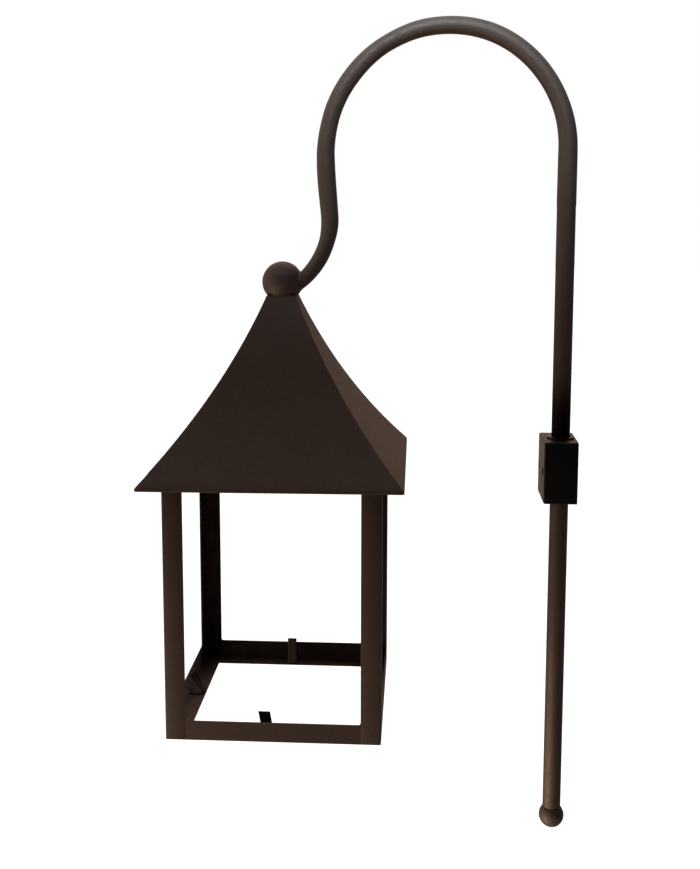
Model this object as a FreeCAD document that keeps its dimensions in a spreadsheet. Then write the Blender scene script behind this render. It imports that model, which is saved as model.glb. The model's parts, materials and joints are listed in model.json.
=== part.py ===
import FreeCAD, Part
import math
import os

import Sketcher
from FreeCAD import Placement, Rotation, Vector

# Solar lantern on a height-adjustable gooseneck wall bracket.
#
# Row frame: millimetres, +Z up. The origin is the centre of the block's flat wall face. The wall
# is the plane x = 0 and the bracket stands out from it towards -X. The pole is vertical through
# the block, and the lantern hangs below the gooseneck's ball. Lantern pieces are drawn about the
# lantern's own upright axis, with z = 0 at its bottom rails, and placed from there.

DRIVING_SIZES = {
    # wall block and bush
    "block_depth": 34.5,
    "block_width": 56.0,
    "block_height": 64.0,
    "block_round": 2.5,
    "mount_spacing": 36.0,
    "mount_hole_radius": 2.75,
    "mount_head_radius": 5.0,
    "mount_head_depth": 5.0,
    "bush_wall": 2.9,
    "bush_flange": 1.6,
    "bush_slot": 2.0,
    "clamp_height": 16.0,
    "clamp_radius": 2.95,
    "clamp_length": 14.0,
    "running_gap": 0.05,
    # pole and gooseneck
    "pole_from_wall": 15.0,
    "tube_diameter": 19.05,
    "tube_wall": 1.5,
    "pole_below": 370.0,
    "pole_above": 270.0,
    "neck_lead": 56.0,
    "arch_radius": 121.5,
    "overbend": 4.0,
    "drop_length": 57.7,
    "hook_radius": 79.0,
    "hook_turn": 66.0,
    "sleeve_length": 80.0,
    "sleeve_bore": 12.0,
    "end_ball_radius": 13.3,
    "end_ball_drop": 11.5,
    "end_spigot": 14.0,
    # hanging ball and stem
    "reach": 287.8,
    "lantern_drop": 257.0,
    "ball_radius": 21.0,
    "ball_height": 448.5,
    "ball_gap": 0.3,
    "ball_flat_radius": 8.0,
    "stem_radius": 5.0,
    "stem_in_ball": 10.0,
    "grub_radius": 2.5,
    "grub_inset": 0.4,
    "washer_thickness": 0.9,
    "plain_washer": 1.5,
    "nut_radius": 9.8,
    "nut_height": 8.0,
    # lantern frame and roof
    "frame_half": 107.0,
    "angle_leg": 20.2,
    "sheet": 1.5,
    "eave_half": 128.5,
    "eave_height": 258.3,
    "roof_top_half": 14.92,
    "roof_top_height": 435.4,
    "flare_radius": 596.0,
    "roof_sheet": 1.2,
    "apex_half": 16.4,
    "apex_height": 428.1,
    "apex_plate": 3.0,
    "tab_width": 10.0,
    "tab_sheet": 0.9,
    "tab_foot": 17.0,
    # ceiling plate and lamp
    "ceiling_half": 103.0,
    "ceiling_plate": 2.0,
    "ceiling_screw_at": 96.0,
    "lamp_radius": 45.0,
    "lamp_depth": 14.0,
    "lamp_wall": 3.0,
    "lamp_flange": 7.0,
    "lens_dome": 3.2,
    "led_sheet": 1.0,
    "led_height": 0.8,
    # battery, switch, board
    "battery_centre": 70.0,
    "battery_radius": 9.2,
    "battery_length": 65.0,
    "box_length": 84.0,
    "box_width": 30.0,
    "box_height": 26.0,
    "box_wall": 2.5,
    "door_length": 74.0,
    "door_width": 24.0,
    "hinge_radius": 1.5,
    "door_knuckle": 36.0,
    "side_knuckle": 7.0,
    "knuckle_at": 22.0,
    "pin_radius": 0.75,
    "switch_at": 72.0,
    "switch_body": 12.0,
    "collar_radius": 6.0,
    "collar_depth": 3.0,
    "button_radius": 4.0,
    "button_travel": 2.0,
    "board_length": 50.0,
    "board_width": 36.0,
    "board_sheet": 1.6,
    "standoff_height": 6.0,
    # solar laminate
    "laminate_low": 271.0,
    "laminate_high": 392.0,
    "laminate_sheet": 2.0,
    "laminate_margin": 9.0,
    "gland_height": 322.0,
    "gland_radius": 4.0,
    "cable_radius": 1.6,
    # fasteners and fits
    "press_gap": 0.02,
    "hole_gap": 0.05,
    "m4_radius": 2.0,
    "m3_radius": 1.5,
}

SHEET_NAME = "Sizes"
THROUGH = 600.0
TURNS = {"back": 0.0, "left": 90.0, "front": 180.0, "right": 270.0}

doc = FreeCAD.newDocument("GooseneckLantern")
nodes = []


# ---------------------------------------------------------------- sizes that know their cell


class Size:
    """A number together with the sheet expression that it comes from."""

    def __init__(self, number, text):
        self.number = number
        self.text = text

    def __add__(self, other):
        other = size(other)
        return Size(self.number + other.number, f"({self.text} + {other.text})")

    def __sub__(self, other):
        other = size(other)
        return Size(self.number - other.number, f"({self.text} - {other.text})")

    def __rsub__(self, other):
        return size(other) - self

    def __mul__(self, other):
        other = size(other)
        return Size(self.number * other.number, f"({self.text} * {other.text})")

    def __truediv__(self, other):
        other = size(other)
        return Size(self.number / other.number, f"({self.text} / {other.text})")

    def __neg__(self):
        return Size(-self.number, f"(0 - {self.text})")

    __radd__ = __add__
    __rmul__ = __mul__


def size(value):
    return value if isinstance(value, Size) else Size(float(value), repr(float(value)))


def make_sheet():
    sheet = doc.addObject("Spreadsheet::Sheet", SHEET_NAME)
    for row, (alias, number) in enumerate(DRIVING_SIZES.items(), start=1):
        sheet.set(f"A{row}", alias.replace("_", " "))
        sheet.set(f"B{row}", str(number))
        sheet.setAlias(f"B{row}", alias)
    doc.recompute()


def cell(alias):
    return Size(DRIVING_SIZES[alias], f"{SHEET_NAME}.{alias}")


def bind(thing, path, value):
    """Drives one property of a document object from the sheet."""
    if isinstance(value, Size):
        thing.setExpression(path, value.text)


# ---------------------------------------------------------------- sketches


def new_body(label, at=(0, 0, 0), turn=0.0, tilt=0.0):
    """A body whose own origin stands at a point of the row frame, turned about the upright axis."""
    body = doc.addObject("PartDesign::Body", label)
    body.Label = label
    body.AllowCompound = True
    place(body, at, turn, tilt)
    nodes.append(body)
    return body


def place(thing, at, turn=0.0, tilt=0.0):
    base = [size(value) for value in at]
    upright = Rotation(Vector(0, 0, 1), turn) * Rotation(Vector(0, 1, 0), tilt)
    thing.Placement = Placement(Vector(*[value.number for value in base]), upright)
    for axis, value in zip("xyz", base):
        bind(thing, f"Placement.Base.{axis}", value)


def new_sketch(body, plane="XY_Plane", offset=0.0):
    sketch = body.newObject("Sketcher::SketchObject", f"{body.Name}_sketch")
    support = next(item for item in body.Origin.OriginFeatures if item.Role == plane)
    sketch.AttachmentSupport = [(support, "")]
    sketch.MapMode = "FlatFace"
    offset = size(offset)
    sketch.AttachmentOffset = Placement(Vector(0, 0, offset.number), Rotation())
    bind(sketch, "AttachmentOffset.Base.z", offset)
    return sketch


def constrain(sketch, kind, *references, value=None):
    """Adds a constraint, driven from the sheet when it has a value."""
    if value is None:
        sketch.addConstraint(Sketcher.Constraint(kind, *references))
        return
    number = value.number if kind != "Angle" else math.radians(value.number)
    index = sketch.addConstraint(Sketcher.Constraint(kind, *references, number))
    text = value.text if kind != "Angle" else f"{value.text} * 1 deg"
    sketch.setExpression(f"Constraints[{index}]", text)


def pin_point(sketch, geometry, end, x, y):
    """Holds one point of a sketch at (x, y) from the sketch's origin."""
    for kind, axis, value in (("DistanceX", -2, size(x)), ("DistanceY", -1, size(y))):
        if value.number == 0:
            constrain(sketch, "PointOnObject", geometry, end, axis)
        else:
            constrain(sketch, kind, -1, 1, geometry, end, value=value)


def vector(x, y):
    return Vector(size(x).number, size(y).number, 0)


def draw_circle(sketch, x, y, radius):
    radius = size(radius)
    circle = Part.Circle(vector(x, y), Vector(0, 0, 1), radius.number)
    index = sketch.addGeometry(circle)
    constrain(sketch, "Radius", index, value=radius)
    pin_point(sketch, index, 3, x, y)


def draw_polygon(sketch, points):
    """A closed outline of straight lines through the points."""
    count = len(points)
    first = sketch.GeometryCount
    for index, point in enumerate(points):
        following = points[(index + 1) % count]
        sketch.addGeometry(Part.LineSegment(vector(*point), vector(*following)))
    for index in range(count):
        following = (index + 1) % count
        constrain(sketch, "Coincident", first + index, 2, first + following, 1)
    for index, point in enumerate(points):
        pin_point(sketch, first + index, 1, *point)


def draw_rectangle(sketch, left, low, right, high):
    draw_polygon(sketch, [(left, low), (right, low), (right, high), (left, high)])


def draw_hexagon(sketch, apothem):
    """A regular hexagon by its distance across flats, halved."""
    corner = size(apothem) * (2 / math.sqrt(3))
    half, side = corner / 2, size(apothem)
    draw_polygon(
        sketch,
        [(corner, 0), (half, side), (-half, side), (-corner, 0), (-half, -side), (half, -side)],
    )


def arc_between(centre, radius, start, end):
    """The counter-clockwise arc about a centre from one point's direction to another's."""
    circle = Part.Circle(centre, Vector(0, 0, 1), radius)
    first = math.atan2(start.y - centre.y, start.x - centre.x)
    last = math.atan2(end.y - centre.y, end.x - centre.x)
    return Part.ArcOfCircle(circle, first, last if last > first else last + 2 * math.pi)


# ---------------------------------------------------------------- features


def feature(body, kind, sketch):
    item = body.newObject(f"PartDesign::{kind}", f"{body.Name}_{kind.lower()}")
    item.Profile = sketch
    return item


def pad(body, sketch, length, symmetric=False):
    item = feature(body, "Pad", sketch)
    item.SideType = "Symmetric" if symmetric else "One side"
    length = size(length)
    item.Length = length.number
    bind(item, "Length", length)
    return item


def pocket(body, sketch, depth=None, reverse=False):
    """Cuts both ways through everything, or to a depth against the sketch's normal."""
    item = feature(body, "Pocket", sketch)
    if depth is None:
        item.SideType = "Symmetric"
        item.Length = 2 * THROUGH
        return item
    depth = size(depth)
    item.Reversed = reverse
    item.Length = depth.number
    bind(item, "Length", depth)
    return item


def revolve(body, sketch, kind="Revolution"):
    """A full turn about the sketch's upright axis."""
    item = feature(body, kind, sketch)
    item.ReferenceAxis = (sketch, ["V_Axis"])
    item.Angle = 360.0
    return item


def ring_of(body, items, count):
    """Repeats features around the body's upright axis."""
    doc.recompute()
    pattern = body.newObject("PartDesign::PolarPattern", f"{body.Name}_ring")
    pattern.Originals = items
    axis = next(line for line in body.Origin.OriginFeatures if line.Role == "Z_Axis")
    pattern.Axis = (axis, [""])
    pattern.Angle = 360.0
    pattern.Occurrences = count
    body.Tip = pattern


def cut_socket(body, distance, radius):
    """Hexagon socket in the +Y end of a set screw."""
    sketch = new_sketch(body, "XZ_Plane", -distance)
    draw_hexagon(sketch, radius / 2)
    pocket(body, sketch, radius * 1.25, reverse=True)


def turned(label, outline, at=(0, 0, 0), turn=0.0, tilt=0.0):
    """A body of revolution from (radius, height) points."""
    body = new_body(label, at, turn, tilt)
    sketch = new_sketch(body, "XZ_Plane")
    draw_polygon(sketch, outline)
    revolve(body, sketch)
    return body


def round_edges(body, base, radius, chosen):
    """Rounds those edges of a feature that the test picks."""
    doc.recompute()
    names = [
        f"Edge{number}"
        for number, edge in enumerate(base.Shape.Edges, start=1)
        if chosen(edge)
    ]
    item = body.newObject("PartDesign::Fillet", f"{body.Name}_fillet")
    item.Base = (base, names)
    item.Radius = radius.number
    bind(item, "Radius", radius)
    return item


# ---------------------------------------------------------------- shared places

make_sheet()

TUBE_RADIUS = cell("tube_diameter") / 2
TUBE_BORE = TUBE_RADIUS - cell("tube_wall")
POLE_X = -cell("pole_from_wall")
LANTERN = (POLE_X - cell("reach"), 0, -cell("lantern_drop"))
GAP = cell("running_gap")

FRAME = cell("frame_half")
LEDGE_TOP = cell("eave_height") + cell("sheet")
CEILING_TOP = LEDGE_TOP + cell("ceiling_plate")
RAIL_TOP = cell("eave_height") + cell("angle_leg")
APEX_UNDER = cell("apex_height") - cell("apex_plate")
STEM_NECK = cell("stem_radius") * 0.72


def at_lantern(x=0, y=0, z=0):
    """A point given from the lantern's bottom centre, in the row frame."""
    return LANTERN[0] + x, LANTERN[1] + size(y), LANTERN[2] + z


# ---------------------------------------------------------------- wall block, bush and clamp


def make_wall_block():
    """Machined block with the pole bore, two counterbored wall holes and a tapped clamp hole."""
    body = new_body("wall_block")
    depth, width, height = cell("block_depth"), cell("block_width"), cell("block_height")
    sketch = new_sketch(body)
    draw_rectangle(sketch, -depth, -(width / 2), 0, width / 2)
    blank = pad(body, sketch, height, symmetric=True)
    round_edges(body, blank, cell("block_round"), lambda edge: edge.BoundBox.XMin < -1)

    sketch = new_sketch(body)
    draw_circle(sketch, POLE_X, 0, TUBE_RADIUS + GAP + cell("bush_wall") + GAP)
    pocket(body, sketch)

    for radius, face, cut in (
        (cell("mount_hole_radius"), 0.0, None),
        (cell("mount_head_radius"), -depth, cell("mount_head_depth")),
    ):
        sketch = new_sketch(body, "YZ_Plane", face)
        for side in (-1, 1):
            draw_circle(sketch, side * cell("mount_spacing") / 2, 0, radius)
        pocket(body, sketch, cut, reverse=True)

    sketch = new_sketch(body, "XZ_Plane")
    draw_circle(sketch, POLE_X, cell("clamp_height"), cell("clamp_radius") + GAP)
    pocket(body, sketch, width)


def make_slip_bush():
    """Split plastic bush: it turns in the block, and the pole slides through it."""
    inner = TUBE_RADIUS + GAP
    outer = inner + cell("bush_wall")
    half = cell("block_height") / 2
    flange = half + GAP
    top = flange + cell("bush_flange")
    rim = outer + cell("bush_flange")
    outline = [(inner, -half), (outer, -half), (outer, flange), (rim, flange), (rim, top), (inner, top)]
    body = turned("slip_bush", outline, (POLE_X, 0, 0))
    sketch = new_sketch(body)
    draw_rectangle(sketch, 0, -(cell("bush_slot") / 2), rim + GAP, cell("bush_slot") / 2)
    pocket(body, sketch)


def make_clamp_screw():
    """Socket set screw that presses on the bush from the side away from the viewer."""
    start = TUBE_RADIUS + 2 * GAP + cell("bush_wall")
    body = new_body("clamp_screw", (POLE_X, 0, cell("clamp_height")))
    sketch = new_sketch(body, "XZ_Plane", -start)
    draw_circle(sketch, 0, 0, cell("clamp_radius"))
    shank = pad(body, sketch, cell("clamp_length"))
    shank.Reversed = True
    cut_socket(body, start + cell("clamp_length"), cell("clamp_radius"))


# ---------------------------------------------------------------- pole, gooseneck and balls


def make_mast_pole():
    body = new_body("mast_pole", (POLE_X, 0, -cell("pole_below")))
    sketch = new_sketch(body)
    draw_circle(sketch, 0, 0, TUBE_RADIUS)
    draw_circle(sketch, 0, 0, TUBE_BORE)
    pad(body, sketch, cell("pole_below") + cell("pole_above"))


def draw_neck_line(sketch):
    """Centreline of the gooseneck: lead, arch, straight drop, and the hook back to the ball."""
    lead, arch, hook = cell("neck_lead"), cell("arch_radius"), cell("hook_radius")
    over = math.radians(cell("overbend").number)
    turn = math.radians(cell("hook_turn").number)
    arch_centre = vector(-arch, lead)
    arch_end = arch_centre + arch.number * Vector(-math.cos(over), -math.sin(over), 0)
    heading = Vector(math.sin(over), -math.cos(over), 0)
    drop_end = arch_end + cell("drop_length").number * heading
    hook_centre = drop_end + hook.number * Vector(-math.cos(over), -math.sin(over), 0)
    last = over - turn
    hook_end = hook_centre + hook.number * Vector(math.cos(last), math.sin(last), 0)

    sketch.addGeometry(Part.LineSegment(Vector(0, 0, 0), vector(0, lead)))
    sketch.addGeometry(arc_between(arch_centre, arch.number, vector(0, lead), arch_end))
    sketch.addGeometry(Part.LineSegment(arch_end, drop_end))
    sketch.addGeometry(arc_between(hook_centre, hook.number, hook_end, drop_end))

    constrain(sketch, "Coincident", 0, 1, -1, 1)
    constrain(sketch, "Vertical", 0)
    constrain(sketch, "Distance", 0, value=lead)
    constrain(sketch, "Tangent", 0, 2, 1, 1)
    constrain(sketch, "Radius", 1, value=arch)
    constrain(sketch, "Tangent", 1, 2, 2, 1)
    constrain(sketch, "Distance", 2, value=cell("drop_length"))
    constrain(sketch, "Tangent", 2, 2, 3, 2)
    constrain(sketch, "Radius", 3, value=hook)
    constrain(sketch, "Angle", 1, value=cell("overbend") + 180)
    constrain(sketch, "Angle", 3, value=cell("hook_turn"))


def make_gooseneck():
    """Bent tube from the pole joint over the arch, coped onto the hanging ball."""
    body = new_body("gooseneck_tube", (POLE_X, 0, cell("pole_above")))
    section = new_sketch(body)
    draw_circle(section, 0, 0, TUBE_RADIUS)
    draw_circle(section, 0, 0, TUBE_BORE)
    centreline = new_sketch(body, "XZ_Plane")
    draw_neck_line(centreline)
    doc.recompute()
    pipe = feature(body, "AdditivePipe", section)
    pipe.Spine = (centreline, [f"Edge{number}" for number in range(1, 5)])

    ball_z = cell("ball_height") - cell("lantern_drop") - cell("pole_above")
    cut_ball(body, -cell("reach"), ball_z, cell("ball_radius"))


def cut_ball(body, x, z, radius):
    """Cuts a ball-shaped hollow: a half circle turned about an upright line through its centre."""
    sketch = new_sketch(body, "XZ_Plane")
    centre = vector(x, z)
    low = centre - Vector(0, radius.number, 0)
    high = centre + Vector(0, radius.number, 0)
    sketch.addGeometry(arc_between(centre, radius.number, low, high))
    sketch.addGeometry(Part.LineSegment(high, low))
    axis = sketch.addGeometry(Part.LineSegment(low, high), True)
    constrain(sketch, "Coincident", 0, 2, 1, 1)
    constrain(sketch, "Coincident", 1, 2, 0, 1)
    constrain(sketch, "Radius", 0, value=radius)
    constrain(sketch, "Vertical", 1)
    constrain(sketch, "PointOnObject", 0, 3, 1)
    pin_point(sketch, 0, 3, x, z)
    constrain(sketch, "Coincident", axis, 1, 1, 2)
    constrain(sketch, "Coincident", axis, 2, 1, 1)
    doc.recompute()
    groove = feature(body, "Groove", sketch)
    groove.ReferenceAxis = (sketch, ["Axis0"])
    groove.Angle = 360.0


def make_coupling_sleeve():
    """Spigot inside the joint between pole and gooseneck."""
    half = cell("sleeve_length") / 2
    outer = TUBE_BORE - cell("press_gap")
    bore = cell("sleeve_bore") / 2
    outline = [(bore, -half), (outer, -half), (outer, half), (bore, half)]
    turned("coupling_sleeve", outline, (POLE_X, 0, cell("pole_above")))


def make_end_ball():
    """Ball finial on a collar and spigot that closes the pole's foot."""
    body = new_body("end_ball", (POLE_X, 0, -cell("pole_below")))
    sketch = new_sketch(body, "XZ_Plane")
    radius, drop = cell("end_ball_radius"), cell("end_ball_drop")
    collar, spigot, top = TUBE_RADIUS, TUBE_BORE - cell("press_gap"), cell("end_spigot")
    bottom = -(drop + radius)
    reach = math.sqrt(radius.number**2 - collar.number**2)
    shoulder = -drop.number + reach
    points = [
        Vector(0, bottom.number, 0),
        vector(0, top),
        vector(spigot, top),
        vector(spigot, 0),
        vector(collar, 0),
        Vector(collar.number, shoulder, 0),
    ]
    for first, second in zip(points, points[1:]):
        sketch.addGeometry(Part.LineSegment(first, second))
    ball = sketch.addGeometry(arc_between(vector(0, -drop), radius.number, points[0], points[-1]))
    for index in range(4):
        constrain(sketch, "Coincident", index, 2, index + 1, 1)
    constrain(sketch, "Coincident", 4, 2, ball, 2)
    constrain(sketch, "Coincident", 0, 1, ball, 1)
    for index, kind in enumerate(("Vertical", "Horizontal", "Vertical", "Horizontal", "Vertical")):
        constrain(sketch, kind, index)
    constrain(sketch, "PointOnObject", 0, 2, -2)
    constrain(sketch, "Radius", ball, value=radius)
    pin_point(sketch, ball, 3, 0, -drop)
    pin_point(sketch, 2, 1, spigot, top)
    pin_point(sketch, 4, 1, collar, 0)
    revolve(body, sketch)


def make_hanging_ball():
    """Solid ball brazed to the gooseneck, bored from below for the lantern's stem."""
    body = new_body("hanging_ball", at_lantern(z=cell("ball_height")))
    sketch = new_sketch(body, "XZ_Plane")
    radius, flat = cell("ball_radius"), cell("ball_flat_radius")
    bore, depth = cell("stem_radius") + GAP, cell("stem_in_ball") + 10 * GAP
    flat_z = -math.sqrt(radius.number**2 - flat.number**2)
    points = [
        Vector(0, radius.number, 0),
        vector(0, depth),
        vector(bore, depth),
        Vector(bore.number, flat_z, 0),
        Vector(flat.number, flat_z, 0),
    ]
    for first, second in zip(points, points[1:]):
        sketch.addGeometry(Part.LineSegment(first, second))
    skin = sketch.addGeometry(arc_between(Vector(0, 0, 0), radius.number, points[-1], points[0]))
    for index in range(3):
        constrain(sketch, "Coincident", index, 2, index + 1, 1)
    constrain(sketch, "Coincident", 3, 2, skin, 1)
    constrain(sketch, "Coincident", 0, 1, skin, 2)
    for index, kind in enumerate(("Vertical", "Horizontal", "Vertical", "Horizontal")):
        constrain(sketch, kind, index)
    constrain(sketch, "PointOnObject", 0, 1, -2)
    constrain(sketch, "Coincident", skin, 3, -1, 1)
    constrain(sketch, "Radius", skin, value=radius)
    pin_point(sketch, 1, 2, bore, depth)
    constrain(sketch, "DistanceX", -1, 1, 3, 2, value=flat)
    revolve(body, sketch)

    sketch = new_sketch(body, "XZ_Plane")
    draw_circle(sketch, 0, 0, cell("grub_radius") + GAP)
    pocket(body, sketch, radius)


def make_ball_grub_screw():
    """Grub screw at the back of the ball; its point runs in the stem's groove."""
    body = new_body("ball_grub_screw", at_lantern(z=cell("ball_height")))
    tip = STEM_NECK + 6 * GAP
    end = cell("ball_radius") - cell("grub_inset")
    sketch = new_sketch(body, "XZ_Plane", -tip)
    draw_circle(sketch, 0, 0, cell("grub_radius"))
    shank = pad(body, sketch, end - tip)
    shank.Reversed = True
    cut_socket(body, end, cell("grub_radius"))


# ---------------------------------------------------------------- stem and its nuts


def make_hanger_stem():
    """Threaded stem: grooved head in the ball, then down through apex plate and ceiling plate."""
    radius, ball = cell("stem_radius"), cell("ball_height")
    thread_past_nut = 1.0
    foot = LEDGE_TOP - cell("plain_washer") - cell("nut_height") - thread_past_nut
    half = cell("grub_radius") + 4 * GAP
    outline = [
        (0, foot),
        (radius, foot),
        (radius, ball - half),
        (STEM_NECK, ball - half),
        (STEM_NECK, ball + half),
        (radius, ball + half),
        (radius, ball + cell("stem_in_ball")),
        (0, ball + cell("stem_in_ball")),
    ]
    turned("hanger_stem", outline, LANTERN)


def make_swivel_washer():
    """Friction washer between the ball's flat and the apex plate."""
    low = cell("apex_height")
    high = low + cell("washer_thickness")
    bore, rim = cell("stem_radius") + GAP, cell("ball_flat_radius") + cell("washer_thickness")
    turned("swivel_washer", [(bore, low), (rim, low), (rim, high), (bore, high)], LANTERN)


def make_stem_nuts():
    """One nut holds the roof up at the apex plate, the other carries the ceiling plate."""
    body = new_body("stem_nuts", LANTERN)
    height, washer = cell("nut_height"), cell("plain_washer")
    for low in (APEX_UNDER - washer - height, LEDGE_TOP - washer - height):
        sketch = new_sketch(body, offset=low)
        draw_hexagon(sketch, cell("nut_radius") * (math.sqrt(3) / 2))
        draw_circle(sketch, 0, 0, cell("stem_radius") + cell("press_gap"))
        pad(body, sketch, height)


def make_stem_washers():
    body = new_body("stem_washers", LANTERN)
    washer = cell("plain_washer")
    for low in (APEX_UNDER - washer, LEDGE_TOP - washer):
        sketch = new_sketch(body, offset=low)
        draw_circle(sketch, 0, 0, 2 * cell("stem_radius"))
        draw_circle(sketch, 0, 0, cell("stem_radius") + 2 * GAP)
        pad(body, sketch, washer)


# ---------------------------------------------------------------- lantern frame


def make_post(name, turn):
    """Corner post of equal-leg angle, corner outwards."""
    body = new_body(name, LANTERN, turn)
    leg, sheet = cell("angle_leg"), cell("sheet")
    inside = FRAME - sheet
    end = FRAME - leg
    sketch = new_sketch(body)
    draw_polygon(
        sketch, [(FRAME, FRAME), (end, FRAME), (end, inside), (inside, inside), (inside, end), (FRAME, end)]
    )
    pad(body, sketch, RAIL_TOP)


def make_rail(name, turn, height, drilled=False):
    """Angle rail between two posts: upright flange outside, mitred ledge turned inwards."""
    body = new_body(name, LANTERN, turn)
    inside = FRAME - cell("sheet")
    end = FRAME - cell("angle_leg")
    sketch = new_sketch(body, offset=height)
    draw_rectangle(sketch, -end, inside, end, FRAME)
    pad(body, sketch, cell("angle_leg"))
    sketch = new_sketch(body, offset=height)
    draw_polygon(sketch, [(-inside, inside), (-end, end), (end, end), (inside, inside)])
    pad(body, sketch, cell("sheet"))
    if drilled:
        sketch = new_sketch(body)
        draw_circle(sketch, 0, cell("ceiling_screw_at"), cell("m4_radius") + cell("hole_gap"))
        pocket(body, sketch)


def make_glass_tab(name, turn, along, lean, length):
    """Soft sheet tab: a foot soldered on the ledge and a leaf bent up at the ledge's edge."""
    edge = FRAME - cell("angle_leg")
    body = new_body(name, LANTERN, turn)
    low = cell("sheet")
    foot, sheet = cell("tab_foot"), cell("tab_sheet")
    top = low + length * math.cos(math.radians(lean))
    shift = length * math.sin(math.radians(lean))
    sketch = new_sketch(body, "YZ_Plane", along)
    draw_polygon(
        sketch,
        [
            (edge, low),
            (edge + foot, low),
            (edge + foot, low + sheet),
            (edge + sheet, low + sheet),
            (edge + sheet + shift, top),
            (edge + shift, top),
        ],
    )
    pad(body, sketch, cell("tab_width"), symmetric=True)


def make_frame():
    for name, turn in TURNS.items():
        make_rail(f"bottom_rail_{name}", turn, 0)
        make_rail(f"top_rail_{name}", turn, cell("eave_height"), drilled=True)
    corners = ("back_right", "back_left", "front_left", "front_right")
    for name, turn in zip(corners, TURNS.values()):
        make_post(f"post_{name}", turn)
    # Each tab was cut and bent by hand: place along its rail, outward lean in degrees, leaf length.
    tabs = {
        "back": (-1.5, 0.0, 30.4),
        "left": (2.0, 32.0, 27.0),
        "front": (7.5, 4.0, 22.5),
        "right": (0.0, 12.0, 27.0),
    }
    for name, (along, lean, length) in tabs.items():
        make_glass_tab(f"glass_tab_{name}", TURNS[name], along, lean, length)


# ---------------------------------------------------------------- roof


def flare_centre():
    """Centre of the roof's concave arc, outside and above the roof, from its two ends."""
    eave = Vector(DRIVING_SIZES["eave_half"], DRIVING_SIZES["eave_height"], 0)
    top = Vector(DRIVING_SIZES["roof_top_half"], DRIVING_SIZES["roof_top_height"], 0)
    chord = top - eave
    outward = Vector(chord.y, -chord.x, 0).normalize()
    rise = math.sqrt(DRIVING_SIZES["flare_radius"] ** 2 - chord.Length**2 / 4)
    return (eave + top) * 0.5 + outward * rise


def on_flare(radius, height):
    """Point of a concentric arc at a height."""
    centre = flare_centre()
    return Vector(centre.x - math.sqrt(radius**2 - (height - centre.y) ** 2), height, 0)


def make_curved_sheet(body, skin, inner, low, high, width, margin):
    """A flared sheet facing +X: the strip between two arcs, with its sides cut on mitre lines."""
    sketch = new_sketch(body, "XZ_Plane")
    centre = flare_centre()
    outer_top, outer_low = on_flare(skin.number, high.number), on_flare(skin.number, low.number)
    inner_top, inner_low = on_flare(inner.number, high.number), on_flare(inner.number, low.number)
    sketch.addGeometry(arc_between(centre, skin.number, outer_top, outer_low))
    sketch.addGeometry(arc_between(centre, inner.number, inner_top, inner_low))
    sketch.addGeometry(Part.LineSegment(outer_top, inner_top))
    sketch.addGeometry(Part.LineSegment(outer_low, inner_low))
    for line, end in ((2, 1), (3, 2)):
        constrain(sketch, "Coincident", line, 1, 0, end)
        constrain(sketch, "Coincident", line, 2, 1, end)
        constrain(sketch, "Horizontal", line)
    constrain(sketch, "Coincident", 0, 3, 1, 3)
    pin_point(sketch, 0, 3, centre.x, centre.y)
    constrain(sketch, "Radius", 0, value=skin)
    constrain(sketch, "Radius", 1, value=inner)
    constrain(sketch, "DistanceY", -1, 1, 0, 1, value=high)
    constrain(sketch, "DistanceY", -1, 1, 0, 2, value=low)
    pad(body, sketch, width, symmetric=True)

    sketch = new_sketch(body)
    clear_of_axis = 3.0
    near, far = margin + clear_of_axis, width / 2 + margin + clear_of_axis
    for side in (-1, 1):
        draw_polygon(
            sketch,
            [(near, side * (near - margin)), (far, side * (far - margin)), (near, side * (far - margin))],
        )
    pocket(body, sketch)


def make_roof_panel(name, turn):
    """One of four curved roof sheets, mitred at the hips and scalloped at the top for the ball."""
    body = new_body(name, LANTERN, turn)
    skin = cell("flare_radius")
    low, high = cell("eave_height"), cell("roof_top_height")
    make_curved_sheet(body, skin, skin + cell("roof_sheet"), low, high, 2 * cell("eave_half"), size(0))
    cut_ball(body, size(0), cell("ball_height"), cell("ball_radius") + cell("ball_gap"))
    return body


def gland_place(depth):
    """Place on the left roof sheet, looking out along the surface's normal, at a depth below it."""
    radius = DRIVING_SIZES["flare_radius"]
    point = on_flare(radius, DRIVING_SIZES["gland_height"])
    normal = (flare_centre() - point).normalize()
    spot = point - normal * depth
    tilt = math.degrees(math.atan2(normal.x, normal.y))
    return at_lantern(-spot.x, 0, spot.y), -tilt


def make_roof():
    for name, turn in (("back", 90.0), ("front", 270.0), ("right", 0.0)):
        make_roof_panel(f"roof_panel_{name}", turn)
    sheet = make_roof_panel("roof_panel_left_blank", 180.0)
    nodes.remove(sheet)
    drill = doc.addObject("Part::Cylinder", "gland_drill")
    drill.Radius = DRIVING_SIZES["gland_radius"]
    bind(drill, "Radius", cell("gland_radius"))
    drill_length = 12.0
    drill.Height = drill_length
    spot, tilt = gland_place(drill_length / 2)
    place(drill, spot, tilt=tilt)
    panel = doc.addObject("Part::Cut", "roof_panel_left")
    panel.Label = "roof_panel_left"
    panel.Base = sheet
    panel.Tool = drill
    nodes.append(panel)


def make_apex_plate():
    """Square plate soldered inside the top of the roof; the ball's washer sits on it."""
    body = new_body("apex_plate", LANTERN)
    half = cell("apex_half")
    sketch = new_sketch(body, offset=APEX_UNDER)
    draw_rectangle(sketch, -half, -half, half, half)
    draw_circle(sketch, 0, 0, cell("stem_radius") + 2 * GAP)
    pad(body, sketch, cell("apex_plate"))


# ---------------------------------------------------------------- solar laminate


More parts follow.
